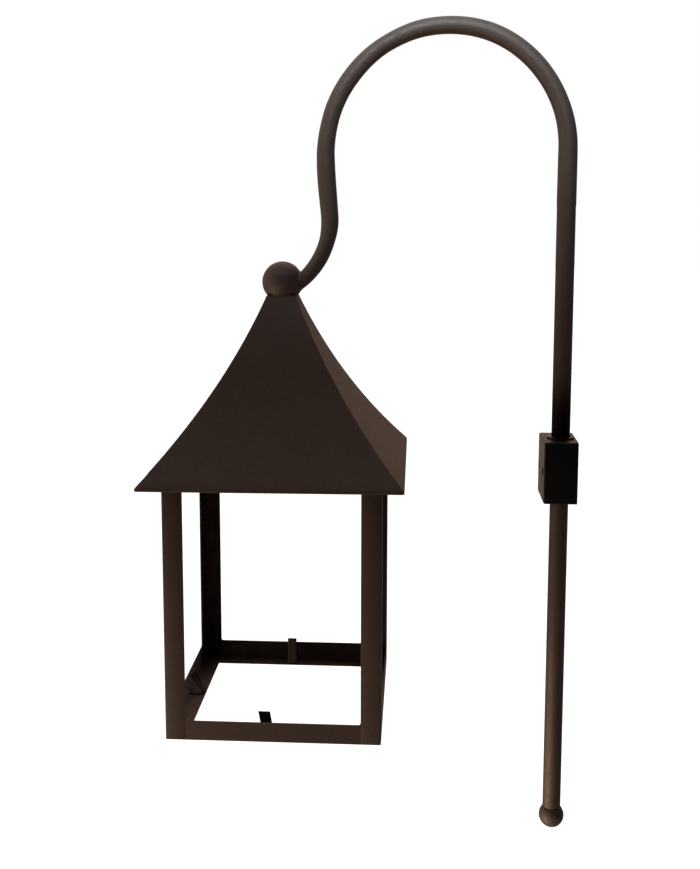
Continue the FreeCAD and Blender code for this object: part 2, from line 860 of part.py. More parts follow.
def make_solar_laminate():
    """Thin flexible laminate bonded to the outward roof sheet."""
    body = new_body("solar_laminate", LANTERN, 180.0)
    under = cell("flare_radius") - cell("press_gap")
    skin = under - cell("laminate_sheet")
    low, high = cell("laminate_low"), cell("laminate_high")
    make_curved_sheet(body, skin, under, low, high, 2 * cell("eave_half"), cell("laminate_margin"))


def make_cable_grommet():
    """Rubber grommet pushed into the roof sheet's hole from inside."""
    depth, flange, flange_rise = 5.0, 2.0, 2.5
    spot, tilt = gland_place(depth)
    hole, bore = cell("gland_radius") - cell("press_gap"), cell("cable_radius") + cell("press_gap")
    lip = depth - cell("roof_sheet") - GAP
    rim, mouth = hole + flange_rise, depth - 2 * GAP
    outline = [
        (bore, lip - flange),
        (rim, lip - flange),
        (rim, lip),
        (hole, lip),
        (hole, mouth),
        (bore, mouth),
    ]
    turned("cable_grommet", outline, spot, tilt=tilt)


# ---------------------------------------------------------------- ceiling plate

OPENING_NEAR = cell("battery_centre") - cell("door_width") / 2
OPENING_FAR = cell("battery_centre") + cell("door_width") / 2
LAMP_SCREW_AT = cell("lamp_radius") + cell("lamp_flange") / 2
BOARD_CENTRE = (-52.0, -48.0)
LEAD_HOLE = (-16.0, 0.0)


def board_holes():
    """Corner points of the controller board's fixings, from the lantern axis."""
    inset = 4.0
    half_x = cell("board_length") / 2 - inset
    half_y = cell("board_width") / 2 - inset
    return [(BOARD_CENTRE[0] + a * half_x, BOARD_CENTRE[1] + b * half_y) for a in (-1, 1) for b in (-1, 1)]


def make_ceiling_plate():
    """Plate on the top rails' ledges that carries the lamp and the electronics."""
    body = new_body("ceiling_plate", LANTERN)
    half = cell("ceiling_half")
    sketch = new_sketch(body, offset=LEDGE_TOP)
    draw_rectangle(sketch, -half, -half, half, half)
    pad(body, sketch, cell("ceiling_plate"))
    sketch = new_sketch(body)
    draw_circle(sketch, 0, 0, cell("stem_radius") + 2 * GAP)
    draw_rectangle(sketch, -(cell("door_length") / 2), OPENING_NEAR, cell("door_length") / 2, OPENING_FAR)
    draw_circle(sketch, cell("switch_at"), 0, cell("collar_radius") + GAP)
    draw_circle(sketch, *LEAD_HOLE, 2 * cell("cable_radius"))
    pocket(body, sketch)
    big, small = cell("m4_radius") + cell("hole_gap"), cell("m3_radius") + cell("hole_gap")
    for radius, count, distance in ((big, 4, cell("ceiling_screw_at")), (small, 3, LAMP_SCREW_AT)):
        sketch = new_sketch(body)
        draw_circle(sketch, 0, -distance, radius)
        ring_of(body, [pocket(body, sketch)], count)


def make_screw_ring(label, count, distance, seat, head, shank, up):
    """Pan-head screws in a ring about the lantern axis. seat is the height under their heads."""
    body = new_body(label, LANTERN)
    pads = []
    for (radius, length), upward in ((head, up), (shank, not up)):
        sketch = new_sketch(body, offset=seat)
        draw_circle(sketch, 0, -distance, radius)
        item = pad(body, sketch, length)
        item.Reversed = not upward
        pads.append(item)
    ring_of(body, pads, count)


def make_ceiling_screws():
    head, shank = (1.9 * cell("m4_radius"), 2.2), (cell("m4_radius"), 5.0)
    make_screw_ring("ceiling_screws", 4, cell("ceiling_screw_at"), CEILING_TOP, head, shank, up=True)


# ---------------------------------------------------------------- lamp

LAMP_FOOT = LEDGE_TOP - cell("lamp_depth")
FLANGE_UNDER = LEDGE_TOP - cell("lamp_wall")
CUP_INSIDE = cell("lamp_radius") - cell("lamp_wall")
SHELF_UNDER = LAMP_FOOT + 3.4
GASKET_UNDER = SHELF_UNDER - 0.65


def make_lamp_cup():
    """Round lamp housing under the ceiling plate: fixing flange, wall and board shelf."""
    outer = cell("lamp_radius")
    flange = outer + cell("lamp_flange")
    shelf_sheet, shelf_width = 2.0, 5.0
    outline = [
        (CUP_INSIDE, LAMP_FOOT),
        (outer, LAMP_FOOT),
        (outer, FLANGE_UNDER),
        (flange, FLANGE_UNDER),
        (flange, LEDGE_TOP),
        (CUP_INSIDE, LEDGE_TOP),
        (CUP_INSIDE, SHELF_UNDER + shelf_sheet),
        (CUP_INSIDE - shelf_width, SHELF_UNDER + shelf_sheet),
        (CUP_INSIDE - shelf_width, SHELF_UNDER),
        (CUP_INSIDE, SHELF_UNDER),
    ]
    body = turned("lamp_cup", outline, LANTERN)
    sketch = new_sketch(body)
    draw_circle(sketch, 0, -LAMP_SCREW_AT, cell("m3_radius") + cell("hole_gap"))
    ring_of(body, [pocket(body, sketch)], 3)


def make_lamp_gasket():
    """Flat gasket ring between the shelf and the light board."""
    outer = CUP_INSIDE - 4 * GAP
    inner = outer - 4.8
    low, high = GASKET_UNDER, SHELF_UNDER - GAP
    turned("lamp_gasket", [(inner, low), (outer, low), (outer, high), (inner, high)], LANTERN)


def make_led_board():
    """Metal-core board under the gasket."""
    body = new_body("led_board", LANTERN)
    sheet = cell("led_sheet")
    sketch = new_sketch(body, offset=GASKET_UNDER - GAP - sheet)
    draw_circle(sketch, 0, 0, CUP_INSIDE - 4 * GAP)
    draw_circle(sketch, 0, 0, 2 * cell("cable_radius"))
    pad(body, sketch, sheet)


def make_led_emitters():
    """Eight emitters in a ring under the board."""
    body = new_body("led_emitters", LANTERN)
    height, side, near = cell("led_height"), 3.5, 20.0
    sketch = new_sketch(body, offset=GASKET_UNDER - GAP - cell("led_sheet") - height)
    draw_rectangle(sketch, -side / 2, near, side / 2, near + side)
    ring_of(body, [pad(body, sketch, height)], 8)


def make_lamp_lens():
    """Frosted lens: a rim pressed into the cup and a shallow dome below it."""
    rim = CUP_INSIDE - GAP
    rim_height = 0.8
    top = LAMP_FOOT + rim_height
    dome = cell("lens_dome")
    body = new_body("lamp_lens", LANTERN)
    sketch = new_sketch(body, "XZ_Plane")
    low = LAMP_FOOT - dome
    corner = Vector(rim.number, LAMP_FOOT.number, 0)
    foot = Vector(0, low.number, 0)
    bend = (rim.number**2 + dome.number**2) / (2 * dome.number)
    centre = Vector(0, low.number + bend, 0)
    points = [foot, vector(0, top), vector(rim, top), corner]
    for first, second in zip(points, points[1:]):
        sketch.addGeometry(Part.LineSegment(first, second))
    skin = sketch.addGeometry(arc_between(centre, bend, foot, corner))
    for index in range(2):
        constrain(sketch, "Coincident", index, 2, index + 1, 1)
    constrain(sketch, "Coincident", 2, 2, skin, 2)
    constrain(sketch, "Coincident", 0, 1, skin, 1)
    for index, kind in enumerate(("Vertical", "Horizontal", "Vertical")):
        constrain(sketch, kind, index)
    constrain(sketch, "PointOnObject", skin, 3, -2)
    pin_point(sketch, skin, 1, 0, low)
    pin_point(sketch, 1, 2, rim, top)
    constrain(sketch, "DistanceY", -1, 1, 2, 2, value=LAMP_FOOT)
    revolve(body, sketch)


def make_lamp_screws():
    head, shank = (1.9 * cell("m3_radius"), 1.8), (cell("m3_radius"), 6.0)
    make_screw_ring("lamp_screws", 3, LAMP_SCREW_AT, FLANGE_UNDER, head, shank, up=False)


# ---------------------------------------------------------------- battery bay

HINGE_AT = (OPENING_FAR + 1.0, LEDGE_TOP - cell("hinge_radius") - 2 * GAP)
CELL_AXIS = CEILING_TOP + 11.5
CABLE_EXIT = cell("box_height") - 8.0


def make_battery_box():
    """Open-bottomed box on the ceiling plate over the battery opening."""
    length, width, wall = cell("box_length"), cell("box_width"), cell("box_wall")
    body = new_body("battery_box", at_lantern(0, cell("battery_centre"), CEILING_TOP))
    sketch = new_sketch(body)
    draw_rectangle(sketch, -(length / 2), -(width / 2), length / 2, width / 2)
    pad(body, sketch, cell("box_height"))
    sketch = new_sketch(body)
    draw_rectangle(sketch, wall - length / 2, wall - width / 2, length / 2 - wall, width / 2 - wall)
    pocket(body, sketch, cell("box_height") - wall, reverse=True)
    sketch = new_sketch(body, "YZ_Plane")
    draw_circle(sketch, 0, CABLE_EXIT, cell("cable_radius") + 2 * GAP)
    pocket(body, sketch, length, reverse=True)


def make_battery_cell():
    """Cylindrical cell with a raised positive button."""
    radius, length = cell("battery_radius"), cell("battery_length")
    button, rise = radius / 3, 1.5
    body = new_body("battery_cell", at_lantern(0, cell("battery_centre"), CELL_AXIS))
    for bore, reach in ((radius, length / 2), (button, length / 2 + rise)):
        sketch = new_sketch(body, "YZ_Plane", -(length / 2))
        draw_circle(sketch, 0, 0, bore)
        pad(body, sketch, reach + length / 2)


def make_battery_contacts():
    """Two spring-leaf contacts on the box's end walls."""
    back = cell("box_length") / 2 - cell("box_wall") - 2 * GAP
    face = back - 0.5
    cell_end = cell("battery_length") / 2
    half, width = 8.0, 9.0
    body = new_body("battery_contacts", at_lantern(0, cell("battery_centre"), CELL_AXIS))
    for side, tip in ((1, cell_end + 1.6), (-1, cell_end + 0.1)):
        sketch = new_sketch(body, "XZ_Plane")
        draw_polygon(
            sketch,
            [
                (side * back, -half),
                (side * back, half),
                (side * face, half),
                (side * tip, 0.0),
                (side * face, -half),
            ],
        )
        pad(body, sketch, width, symmetric=True)


def make_battery_door():
    """Door in the ceiling plate's opening, with its knuckle below the far edge."""
    y, z = HINGE_AT
    gap, radius = 6 * GAP, cell("hinge_radius")
    strap, strap_sheet, strap_reach = cell("door_knuckle") / 2, 1.1, 6.0
    half = cell("door_length") / 2 - gap
    near = OPENING_NEAR + gap
    far = OPENING_FAR - gap
    body = new_body("battery_door", LANTERN)
    sketch = new_sketch(body, offset=LEDGE_TOP)
    draw_rectangle(sketch, -half, near, half, far)
    pad(body, sketch, cell("ceiling_plate"))
    for end, thickness in ((y, strap_sheet - 2 * GAP), (far, size(strap_sheet))):
        sketch = new_sketch(body, offset=LEDGE_TOP - strap_sheet)
        draw_rectangle(sketch, -strap, near + strap_reach, strap, end)
        pad(body, sketch, thickness)
    sketch = new_sketch(body, "YZ_Plane")
    draw_circle(sketch, y, z, radius)
    pad(body, sketch, cell("door_knuckle"), symmetric=True)
    sketch = new_sketch(body, "YZ_Plane")
    draw_circle(sketch, y, z, cell("pin_radius") + GAP)
    pocket(body, sketch)


def make_door_hinge():
    """Two fixed knuckles on feet under the ceiling plate."""
    y, z = HINGE_AT
    radius = cell("hinge_radius")
    body = new_body("door_hinge", LANTERN)
    for side in (-1, 1):
        for is_foot in (False, True):
            sketch = new_sketch(body, "YZ_Plane", side * cell("knuckle_at"))
            if is_foot:
                draw_rectangle(sketch, y, z, y + radius, LEDGE_TOP)
            else:
                draw_circle(sketch, y, z, radius)
            pad(body, sketch, cell("side_knuckle"), symmetric=True)
    sketch = new_sketch(body, "YZ_Plane")
    draw_circle(sketch, y, z, cell("pin_radius"))
    pocket(body, sketch)


def make_hinge_pin():
    """Pin through the door's knuckle and both side knuckles."""
    y, z = HINGE_AT
    body = new_body("hinge_pin", LANTERN)
    sketch = new_sketch(body, "YZ_Plane")
    draw_circle(sketch, y, z, cell("pin_radius"))
    pad(body, sketch, 2 * cell("knuckle_at") + cell("side_knuckle"), symmetric=True)


# ---------------------------------------------------------------- switch and controller


SWITCH_ROOF = 2.0


def make_switch_body():
    """Push switch: case on the ceiling plate and a collar down through it."""
    body = new_body("switch_body", at_lantern(cell("switch_at"), 0, CEILING_TOP))
    height, depth, half = cell("switch_body"), cell("collar_depth"), 7.0
    sketch = new_sketch(body)
    draw_rectangle(sketch, -half, -half, half, half)
    pad(body, sketch, height)
    sketch = new_sketch(body, offset=-depth)
    draw_circle(sketch, 0, 0, cell("collar_radius"))
    pad(body, sketch, depth)
    sketch = new_sketch(body, offset=-depth)
    draw_circle(sketch, 0, 0, cell("button_radius") + GAP)
    pocket(body, sketch, height + depth - SWITCH_ROOF, reverse=True)


def make_switch_button():
    """Button cap that is pressed upwards into the switch."""
    radius, travel, chamfer = cell("button_radius"), cell("button_travel"), 0.8
    stand = cell("collar_depth") + travel + 1.0
    top = cell("switch_body") - SWITCH_ROOF - travel - 10 * GAP
    outline = [(0, -stand), (radius - chamfer, -stand), (radius, chamfer - stand), (radius, top), (0, top)]
    turned("switch_button", outline, at_lantern(cell("switch_at"), 0, CEILING_TOP))


def make_controller():
    """Charge controller: board, standoffs, parts on the board and fixing screws."""
    length, width, sheet = cell("board_length"), cell("board_width"), cell("board_sheet")
    rise = cell("standoff_height")
    centre_x, centre_y = (size(value) for value in BOARD_CENTRE)
    screw_hole, standoff, head, head_height = 1.3, 2.6, 2.2, 1.4
    board = new_body("controller_board", LANTERN)
    sketch = new_sketch(board, offset=CEILING_TOP + rise)
    draw_rectangle(
        sketch,
        centre_x - length / 2,
        centre_y - width / 2,
        centre_x + length / 2,
        centre_y + width / 2,
    )
    pad(board, sketch, sheet)
    sketch = new_sketch(board)
    for x, y in board_holes():
        draw_circle(sketch, x, y, screw_hole)
    pocket(board, sketch)

    top = CEILING_TOP + rise + sheet
    for label, radius, low, height in (
        ("board_standoffs", standoff, CEILING_TOP, rise),
        ("board_screws", head, top, head_height),
    ):
        body = new_body(label, LANTERN)
        sketch = new_sketch(body, offset=low)
        for x, y in board_holes():
            draw_circle(sketch, x, y, radius)
        pad(body, sketch, height)

    # Terminal block, driver, inductor and controller: place on the board, half sizes and height.
    parts = new_body("board_components", LANTERN)
    for x, y, half_x, half_y, height in (
        (-12.0, 8.0, 5.0, 4.0, 9.0),
        (-12.0, -7.0, 4.0, 4.0, 2.0),
        (2.0, 0.0, 5.5, 5.5, 4.5),
        (12.0, -8.0, 3.0, 4.5, 1.6),
    ):
        sketch = new_sketch(parts, offset=top)
        draw_rectangle(
            sketch,
            centre_x + (x - half_x),
            centre_y + (y - half_y),
            centre_x + (x + half_x),
            centre_y + (y + half_y),
        )
        pad(parts, sketch, height)


# ---------------------------------------------------------------- cables


def make_cable(label, points, bend):
    """Round cable through points, with a fixed bend radius at each corner."""
    corners = [Vector(*[size(value).number for value in point]) for point in points]
    edges = []
    start = corners[0]
    for previous, corner, following in zip(corners, corners[1:], corners[2:]):
        back = (previous - corner).normalize()
        ahead = (following - corner).normalize()
        half = back.getAngle(ahead) / 2
        cut = bend / math.tan(half)
        first, last = corner + back * cut, corner + ahead * cut
        middle = corner + (back + ahead).normalize() * (bend / math.sin(half) - bend)
        edges.append(Part.makeLine(start, first))
        edges.append(Part.Arc(first, middle, last).toShape())
        start = last
    edges.append(Part.makeLine(start, corners[-1]))
    section = Part.Circle(corners[0], corners[1] - corners[0], DRIVING_SIZES["cable_radius"])
    line = Part.Wire(edges)
    cable = doc.addObject("Part::Feature", label)
    cable.Label = label
    cable.Shape = line.makePipeShell([Part.Wire(section.toShape())], True, True)
    place(cable, LANTERN)
    nodes.append(cable)


def make_cables():
    """Leads from the laminate, the battery and the lamp to the controller's top face."""
    board_x, board_y = BOARD_CENTRE
    board_top = CEILING_TOP + cell("standoff_height") + cell("board_sheet")
    on_board = board_top + cell("cable_radius") + 2 * GAP
    land = board_x + DRIVING_SIZES["board_length"] / 2 - 5
    beside = land + 26
    tight, loose = 5.0, 6.0

    gland = on_flare(DRIVING_SIZES["flare_radius"], DRIVING_SIZES["gland_height"])
    inward = (gland - flare_centre()).normalize() * 22
    make_cable(
        "solar_cable",
        [
            (-gland.x, 0, gland.y),
            (-gland.x - inward.x, 0, gland.y + inward.y),
            (board_x, board_y + 28, board_top + 24),
            (board_x, board_y + 21, board_top + 0.2),
        ],
        tight,
    )

    box_end = cell("box_length") / 2
    box_exit = CEILING_TOP + CABLE_EXIT
    make_cable(
        "battery_cable",
        [
            (box_end - 2, cell("battery_centre"), box_exit),
            (box_end + 8, cell("battery_centre"), box_exit),
            (box_end + 8, 10, on_board),
            (beside, board_y - 10, on_board),
            (land, board_y - 10, on_board),
        ],
        loose,
    )

    over = CEILING_TOP + 22
    make_cable(
        "lamp_cable",
        [
            (land, board_y + 4, on_board),
            (LEAD_HOLE[0], board_y + 4, on_board),
            (LEAD_HOLE[0], LEAD_HOLE[1], over),
            (LEAD_HOLE[0], LEAD_HOLE[1], SHELF_UNDER),
        ],
        loose,
    )


# ---------------------------------------------------------------- build, check and write


def build_all():
    make_wall_block()
    make_slip_bush()
    make_clamp_screw()
    make_mast_pole()
    make_gooseneck()
    make_coupling_sleeve()
    make_end_ball()
    make_hanging_ball()
    make_ball_grub_screw()
    make_hanger_stem()
    make_swivel_washer()
    make_stem_nuts()
    make_stem_washers()
    make_frame()
    make_roof()
    make_apex_plate()
    make_solar_laminate()
    make_cable_grommet()
    make_ceiling_plate()
    make_ceiling_screws()
    make_lamp_cup()
    make_lamp_gasket()
    make_led_board()
    make_led_emitters()
    make_lamp_lens()
    make_lamp_screws()
    make_battery_box()
    make_battery_cell()
    make_battery_contacts()
    make_battery_door()
    make_door_hinge()
    make_hinge_pin()
    make_switch_body()
    make_switch_button()
    make_controller()
    make_cables()


def check_document():
    """Stops if any object failed, or any node is empty or invalid."""
    failed = [item.Name for item in doc.Objects if {"Invalid", "Error"} & set(item.State)]
    if failed:
        raise RuntimeError(f"failed objects: {failed}")
    for node in nodes:
        shape = node.Shape
        if shape.isNull() or not shape.isValid() or not shape.Solids:
            raise RuntimeError(f"{node.Label} has no valid solid")


def write_nodes():
    os.makedirs("parts", exist_ok=True)
    for node in nodes:
        node.Shape.exportStep(f"parts/{node.Label}.step")
        solids = len(node.Shape.Solids)
        print(f"{node.Label}: {solids} solid(s), {node.Shape.Volume:.0f} mm3")


build_all()
doc.recompute()
check_document()
write_nodes()
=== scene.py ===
import json
import math

import bmesh
import bpy
from mathutils import Matrix, Vector, noise

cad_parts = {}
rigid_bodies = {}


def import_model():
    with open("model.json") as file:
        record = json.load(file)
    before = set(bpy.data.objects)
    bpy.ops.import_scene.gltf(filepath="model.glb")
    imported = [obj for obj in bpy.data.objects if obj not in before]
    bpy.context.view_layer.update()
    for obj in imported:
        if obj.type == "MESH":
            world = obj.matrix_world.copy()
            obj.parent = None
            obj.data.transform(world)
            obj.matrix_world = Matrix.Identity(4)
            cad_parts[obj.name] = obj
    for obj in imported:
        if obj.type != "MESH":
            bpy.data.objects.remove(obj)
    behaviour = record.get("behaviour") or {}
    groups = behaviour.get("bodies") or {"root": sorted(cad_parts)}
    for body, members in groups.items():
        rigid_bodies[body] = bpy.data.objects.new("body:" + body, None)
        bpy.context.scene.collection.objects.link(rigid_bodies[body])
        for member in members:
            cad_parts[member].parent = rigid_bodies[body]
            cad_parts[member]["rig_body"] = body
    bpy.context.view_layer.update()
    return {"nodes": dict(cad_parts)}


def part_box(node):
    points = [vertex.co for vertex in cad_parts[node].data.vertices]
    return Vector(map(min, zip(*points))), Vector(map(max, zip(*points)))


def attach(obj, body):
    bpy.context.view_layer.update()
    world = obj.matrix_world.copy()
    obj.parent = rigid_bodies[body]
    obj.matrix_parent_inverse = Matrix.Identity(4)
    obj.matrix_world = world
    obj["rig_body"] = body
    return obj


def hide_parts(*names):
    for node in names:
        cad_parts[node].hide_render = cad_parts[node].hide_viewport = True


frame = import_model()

# Finished look of the gooseneck lantern, in the row frame in metres. The camera looks along +Y,
# so "left" is towards -X, "right" is towards the wall at +X, and "front" faces the camera.

MM = 0.001
NODES = frame["nodes"]
SLOT_OF = {name: node.data.materials[0].name for name, node in NODES.items()}

# Degrees about the lantern's axis from the side that faces +X to each side.
TURNS = {"right": 0, "back": 90, "left": 180, "front": 270}


def middle(node):
    low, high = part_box(node)
    return (low + high) / 2


def half_width(node):
    low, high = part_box(node)
    return (high.x - low.x) / 2


TUBE_RADIUS = half_width("mast_pole")
POLE_X = middle("mast_pole").x
POLE_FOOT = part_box("mast_pole")[0].z
JOINT_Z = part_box("mast_pole")[1].z
BALL_RADIUS = half_width("hanging_ball")
AXIS_X = middle("hanging_ball").x
BALL = Vector((AXIS_X, 0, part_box("hanging_ball")[1].z - BALL_RADIUS))
BASE_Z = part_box("bottom_rail_front")[0].z
FRAME_HALF = -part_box("bottom_rail_front")[0].y
SHEET = 1.5 * MM
RAIL_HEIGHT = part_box("bottom_rail_front")[1].z - BASE_Z
RAIL_END = FRAME_HALF - RAIL_HEIGHT

# How near two places count as one, and the least turn in degrees that makes an edge a corner.
CLOSE = 0.05 * MM
CORNER_ANGLE = 50


# ---------------------------------------------------------------- mesh helpers


def skin(bm, rings, closed=False, caps=True):
    """Quads between rings of points. Open ends get a fan about their middle."""
    rows = [[bm.verts.new(point) for point in ring] for ring in rings]
    count = len(rows[0])
    pairs = list(zip(rows, rows[1:]))
    if closed:
        pairs.append((rows[-1], rows[0]))
    for near, far in pairs:
        for index in range(count):
            after = (index + 1) % count
            bm.faces.new((near[index], near[after], far[after], far[index]))
    if caps and not closed:
        for row in (rows[0], rows[-1]):
            hub = bm.verts.new(sum((vert.co for vert in row), Vector()) / count)
            for index in range(count):
                bm.faces.new((row[index], row[(index + 1) % count], hub))
    return rows


def lathe(bm, profile, centre, closed=False, steps=96):
    """Turns (radius, height) points about the upright line through a centre."""
    rings = []
    for radius, height in profile:
        rings.append(
            [
                Vector(centre)
                + Vector((radius * math.cos(turn), radius * math.sin(turn), height))
                for turn in (math.tau * step / steps for step in range(steps))
            ]
        )
    skin(bm, rings, closed)


def arc(x, y, radius, first, last, steps):
    """Points of an arc between two angles in degrees."""
    angles = [math.radians(first + (last - first) * step / steps) for step in range(steps + 1)]
    return [(x + radius * math.cos(angle), y + radius * math.sin(angle)) for angle in angles]


def mix(first, last, share):
    return first + (last - first) * share


def smooth(share):
    share = min(1.0, max(0.0, share))
    return share * share * (3 - 2 * share)


def piece(name, bm, node, sharp=35, finish=None, extra=False):
    """Makes a shown piece from a mesh, on a CAD node's body, with the finish of the node's slot unless
    another finish is named. It stands for the node, unless it is an extra beside it. Edges steeper
    than sharp degrees stay crisp."""
    bmesh.ops.recalc_face_normals(bm, faces=bm.faces)
    mesh = bpy.data.meshes.new(name)
    bm.to_mesh(mesh)
    bm.free()
    mesh.shade_smooth()
    mesh.set_sharp_from_angle(angle=math.radians(sharp))
    thing = bpy.data.objects.new(name, mesh)
    bpy.context.scene.collection.objects.link(thing)
    slot = SLOT_OF[node]
    mesh.materials.append(FINISHES[finish or slot])
    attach(thing, NODES[node]["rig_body"])
    if not extra:
        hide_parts(node)


def clean_copy(node):
    """A node's own shape with doubled points joined and each flat region made one face."""
    doubled, flat = 0.001 * MM, math.radians(0.5)
    bm = bmesh.new()
    bm.from_mesh(NODES[node].data)
    bmesh.ops.remove_doubles(bm, verts=bm.verts, dist=doubled)
    bmesh.ops.dissolve_limit(bm, angle_limit=flat, verts=bm.verts, edges=bm.edges)
    return bm


def bevel(bm, chosen, offset, segments):
    """Rounds the outward edges that the test picks."""
    edges = [
        edge
        for edge in bm.edges
        if len(edge.link_faces) == 2
        and edge.is_convex
        and edge.calc_face_angle() > math.radians(CORNER_ANGLE)
        and chosen(edge)
    ]
    bmesh.ops.bevel(
        bm,
        geom=edges,
        offset=offset,
        segments=segments,
        profile=0.5,
        affect="EDGES",
        clamp_overlap=True,
    )


# ---------------------------------------------------------------- material helpers


class Graph:
    """Builds the node graph of a material or of the world. Noise is laid out in the row frame,
    in metres."""

    def __init__(self, owner):
        self.owner = owner
        owner.use_nodes = True
        self.tree = owner.node_tree
        self.tree.nodes.clear()
        self.coordinates = self.node("TexCoord").outputs
        self.place = self.coordinates["Object"]

    def node(self, kind, inputs=None, **settings):
        made = self.tree.nodes.new("ShaderNode" + kind)
        for name, value in settings.items():
            setattr(made, name, value)
        for name, value in (inputs or {}).items():
            if isinstance(value, bpy.types.NodeSocket):
                self.tree.links.new(value, made.inputs[name])
            else:
                made.inputs[name].default_value = value
        return made

    def noise(self, per_metre, detail, stretch=None):
        place = self.place
        if stretch:
            place = self.node("Mapping", {"Vector": place, "Scale": stretch}).outputs["Vector"]
        inputs = {"Vector": place, "Scale": per_metre, "Detail": detail}
        return self.node("TexNoise", inputs).outputs["Fac"]

    def ramp(self, value, low, high, first=0.0, last=1.0):
        """Maps a value between low and high to first and last, eased at both ends."""
        inputs = {"Value": value, "From Min": low, "From Max": high, "To Min": first, "To Max": last}
        return self.node("MapRange", inputs, interpolation_type="SMOOTHSTEP").outputs["Result"]

    def clouds(self, per_metre, detail=3.0, first=0.0, last=1.0):
        """Soft patches that run from first to last."""
        return self.ramp(self.noise(per_metre, detail), 0.3, 0.7, first, last)

    def blend(self, share, first, last):
        """Mixes two colours."""
        made = self.node("Mix", {0: share, 6: first, 7: last}, data_type="RGBA")
        return made.outputs[2]

    def parts(self, vector):
        """A vector's three parts, by the names X, Y and Z."""
        return self.node("SeparateXYZ", {"Vector": vector}).outputs

    def math(self, kind, first, last=0.0):
        return self.node("Math", {0: first, 1: last}, operation=kind).outputs[0]

    def edges(self, radius):
        """Near 1 on outward and inward edges, 0 on open faces."""
        rounded = self.node("Bevel", {"Radius": radius}, samples=4).outputs["Normal"]
        facing = self.node("NewGeometry").outputs["Normal"]
        return self.ramp(self.dot(rounded, facing), 0.975, 0.82)

    def dot(self, first, last):
        inputs = {0: first, 1: last}
        return self.node("VectorMath", inputs, operation="DOT_PRODUCT").outputs["Value"]

    def bump(self, height, depth, strength, before=None):
        inputs = {"Height": height, "Distance": depth, "Strength": strength}
        if before:
            inputs["Normal"] = before
        return self.node("Bump", inputs).outputs["Normal"]

    def finish(self, **inputs):
        shader = self.node("BsdfPrincipled")
        for name, value in inputs.items():
            socket = shader.inputs[name.replace("_", " ")]
            if isinstance(value, bpy.types.NodeSocket):
                self.tree.links.new(value, socket)
            else:
                socket.default_value = value
        self.node("OutputMaterial", {"Surface": shader.outputs["BSDF"]})
        return self.owner


def new_graph(name):
    return Graph(bpy.data.materials.new(name))


def colour(red, green, blue):
    return (red, green, blue, 1.0)


# ---------------------------------------------------------------- materials


def make_bronze(name="dark_bronze_coat", shade=None):
    """Dark bronze powder coat: fine grain, cloudy tone, dust in the grain, and rubbed edges.
    shade, if given, works out how far painted shade darkens the coat and dulls its gloss, from 0 to 1."""
    graph = new_graph(name)
    base = graph.blend(graph.clouds(26, 4), colour(0.0245, 0.0140, 0.0098), colour(0.0300, 0.0172, 0.0120))
    patches = graph.ramp(graph.noise(95, 5), 0.5, 0.75, 0.0, 0.35)
    base = graph.blend(patches, base, colour(0.038, 0.0212, 0.0142))
    grain = graph.noise(1500, 2)
    flecks = graph.ramp(grain, 0.60, 0.74, 0.0, 0.35)
    base = graph.blend(flecks, base, colour(0.080, 0.052, 0.037))
    pits = graph.ramp(grain, 0.42, 0.30, 0.0, 0.6)
    base = graph.blend(pits, base, colour(0.009, 0.006, 0.0045))
    patchy = graph.ramp(graph.noise(210, 4), 0.42, 0.66)
    worn = graph.math("MULTIPLY", graph.edges(0.9 * MM), patchy)
    base = graph.blend(graph.math("MULTIPLY", worn, 0.6), base, colour(0.12, 0.075, 0.048))
    sheen = 0.42
    # Painted shade: where the mask is high the coat turns near black and less glossy.
    if shade:
        dark = shade(graph)
        base = graph.blend(dark, base, colour(0.0012, 0.0008, 0.0006))
        sheen = graph.ramp(dark, 0.0, 1.0, sheen, 0.05)
    rough = graph.clouds(320, 4, 0.58, 0.70)
    peel = graph.bump(graph.noise(620, 2), 0.03 * MM, 0.5)
    normal = graph.bump(grain, 0.015 * MM, 0.5, peel)
    metal = graph.math("MULTIPLY", worn, 0.3)
    return graph.finish(
        Base_Color=base,
        Roughness=rough,
        Normal=normal,
        Metallic=metal,
        Specular_IOR_Level=sheen,
        Specular_Tint=colour(1.0, 0.76, 0.62),
    )


def painted_inside_shade(graph):
    """Painted shade on the inside faces of the lantern's frame, darkest towards the back."""
    parts = graph.parts(graph.place)
    east = graph.math("ABSOLUTE", graph.math("SUBTRACT", parts["X"], AXIS_X))
    north = graph.math("ABSOLUTE", parts["Y"])
    reach = graph.math("MAXIMUM", east, north)
    inside = graph.ramp(reach, FRAME_HALF - 0.3 * MM, FRAME_HALF - 0.9 * MM)
    back = graph.ramp(parts["Y"], -0.9 * FRAME_HALF, 0.8 * FRAME_HALF, 0.15, 0.75)
    return graph.math("MULTIPLY", graph.math("MULTIPLY", inside, back), graph.clouds(60, 3, 0.8, 1.0))


def painted_tab_shade(graph):
    """Even painted shade, in soft patches, on the small parts inside the lantern."""
    return graph.clouds(90, 3, 0.55, 0.7)


def painted_shade_above_block(graph):
    """Painted shade on the stretch of pole that slides through the bush: darkest just above the block, fading
    out up the pole and down inside the block.
    """
    height = graph.parts(graph.place)["Z"]
    block_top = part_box("wall_block")[1].z
    below = graph.ramp(height, block_top - 60 * MM, block_top - 2 * MM)
    above = graph.ramp(height, block_top + 95 * MM, block_top + 14 * MM)
    return graph.math("MULTIPLY", below, above)


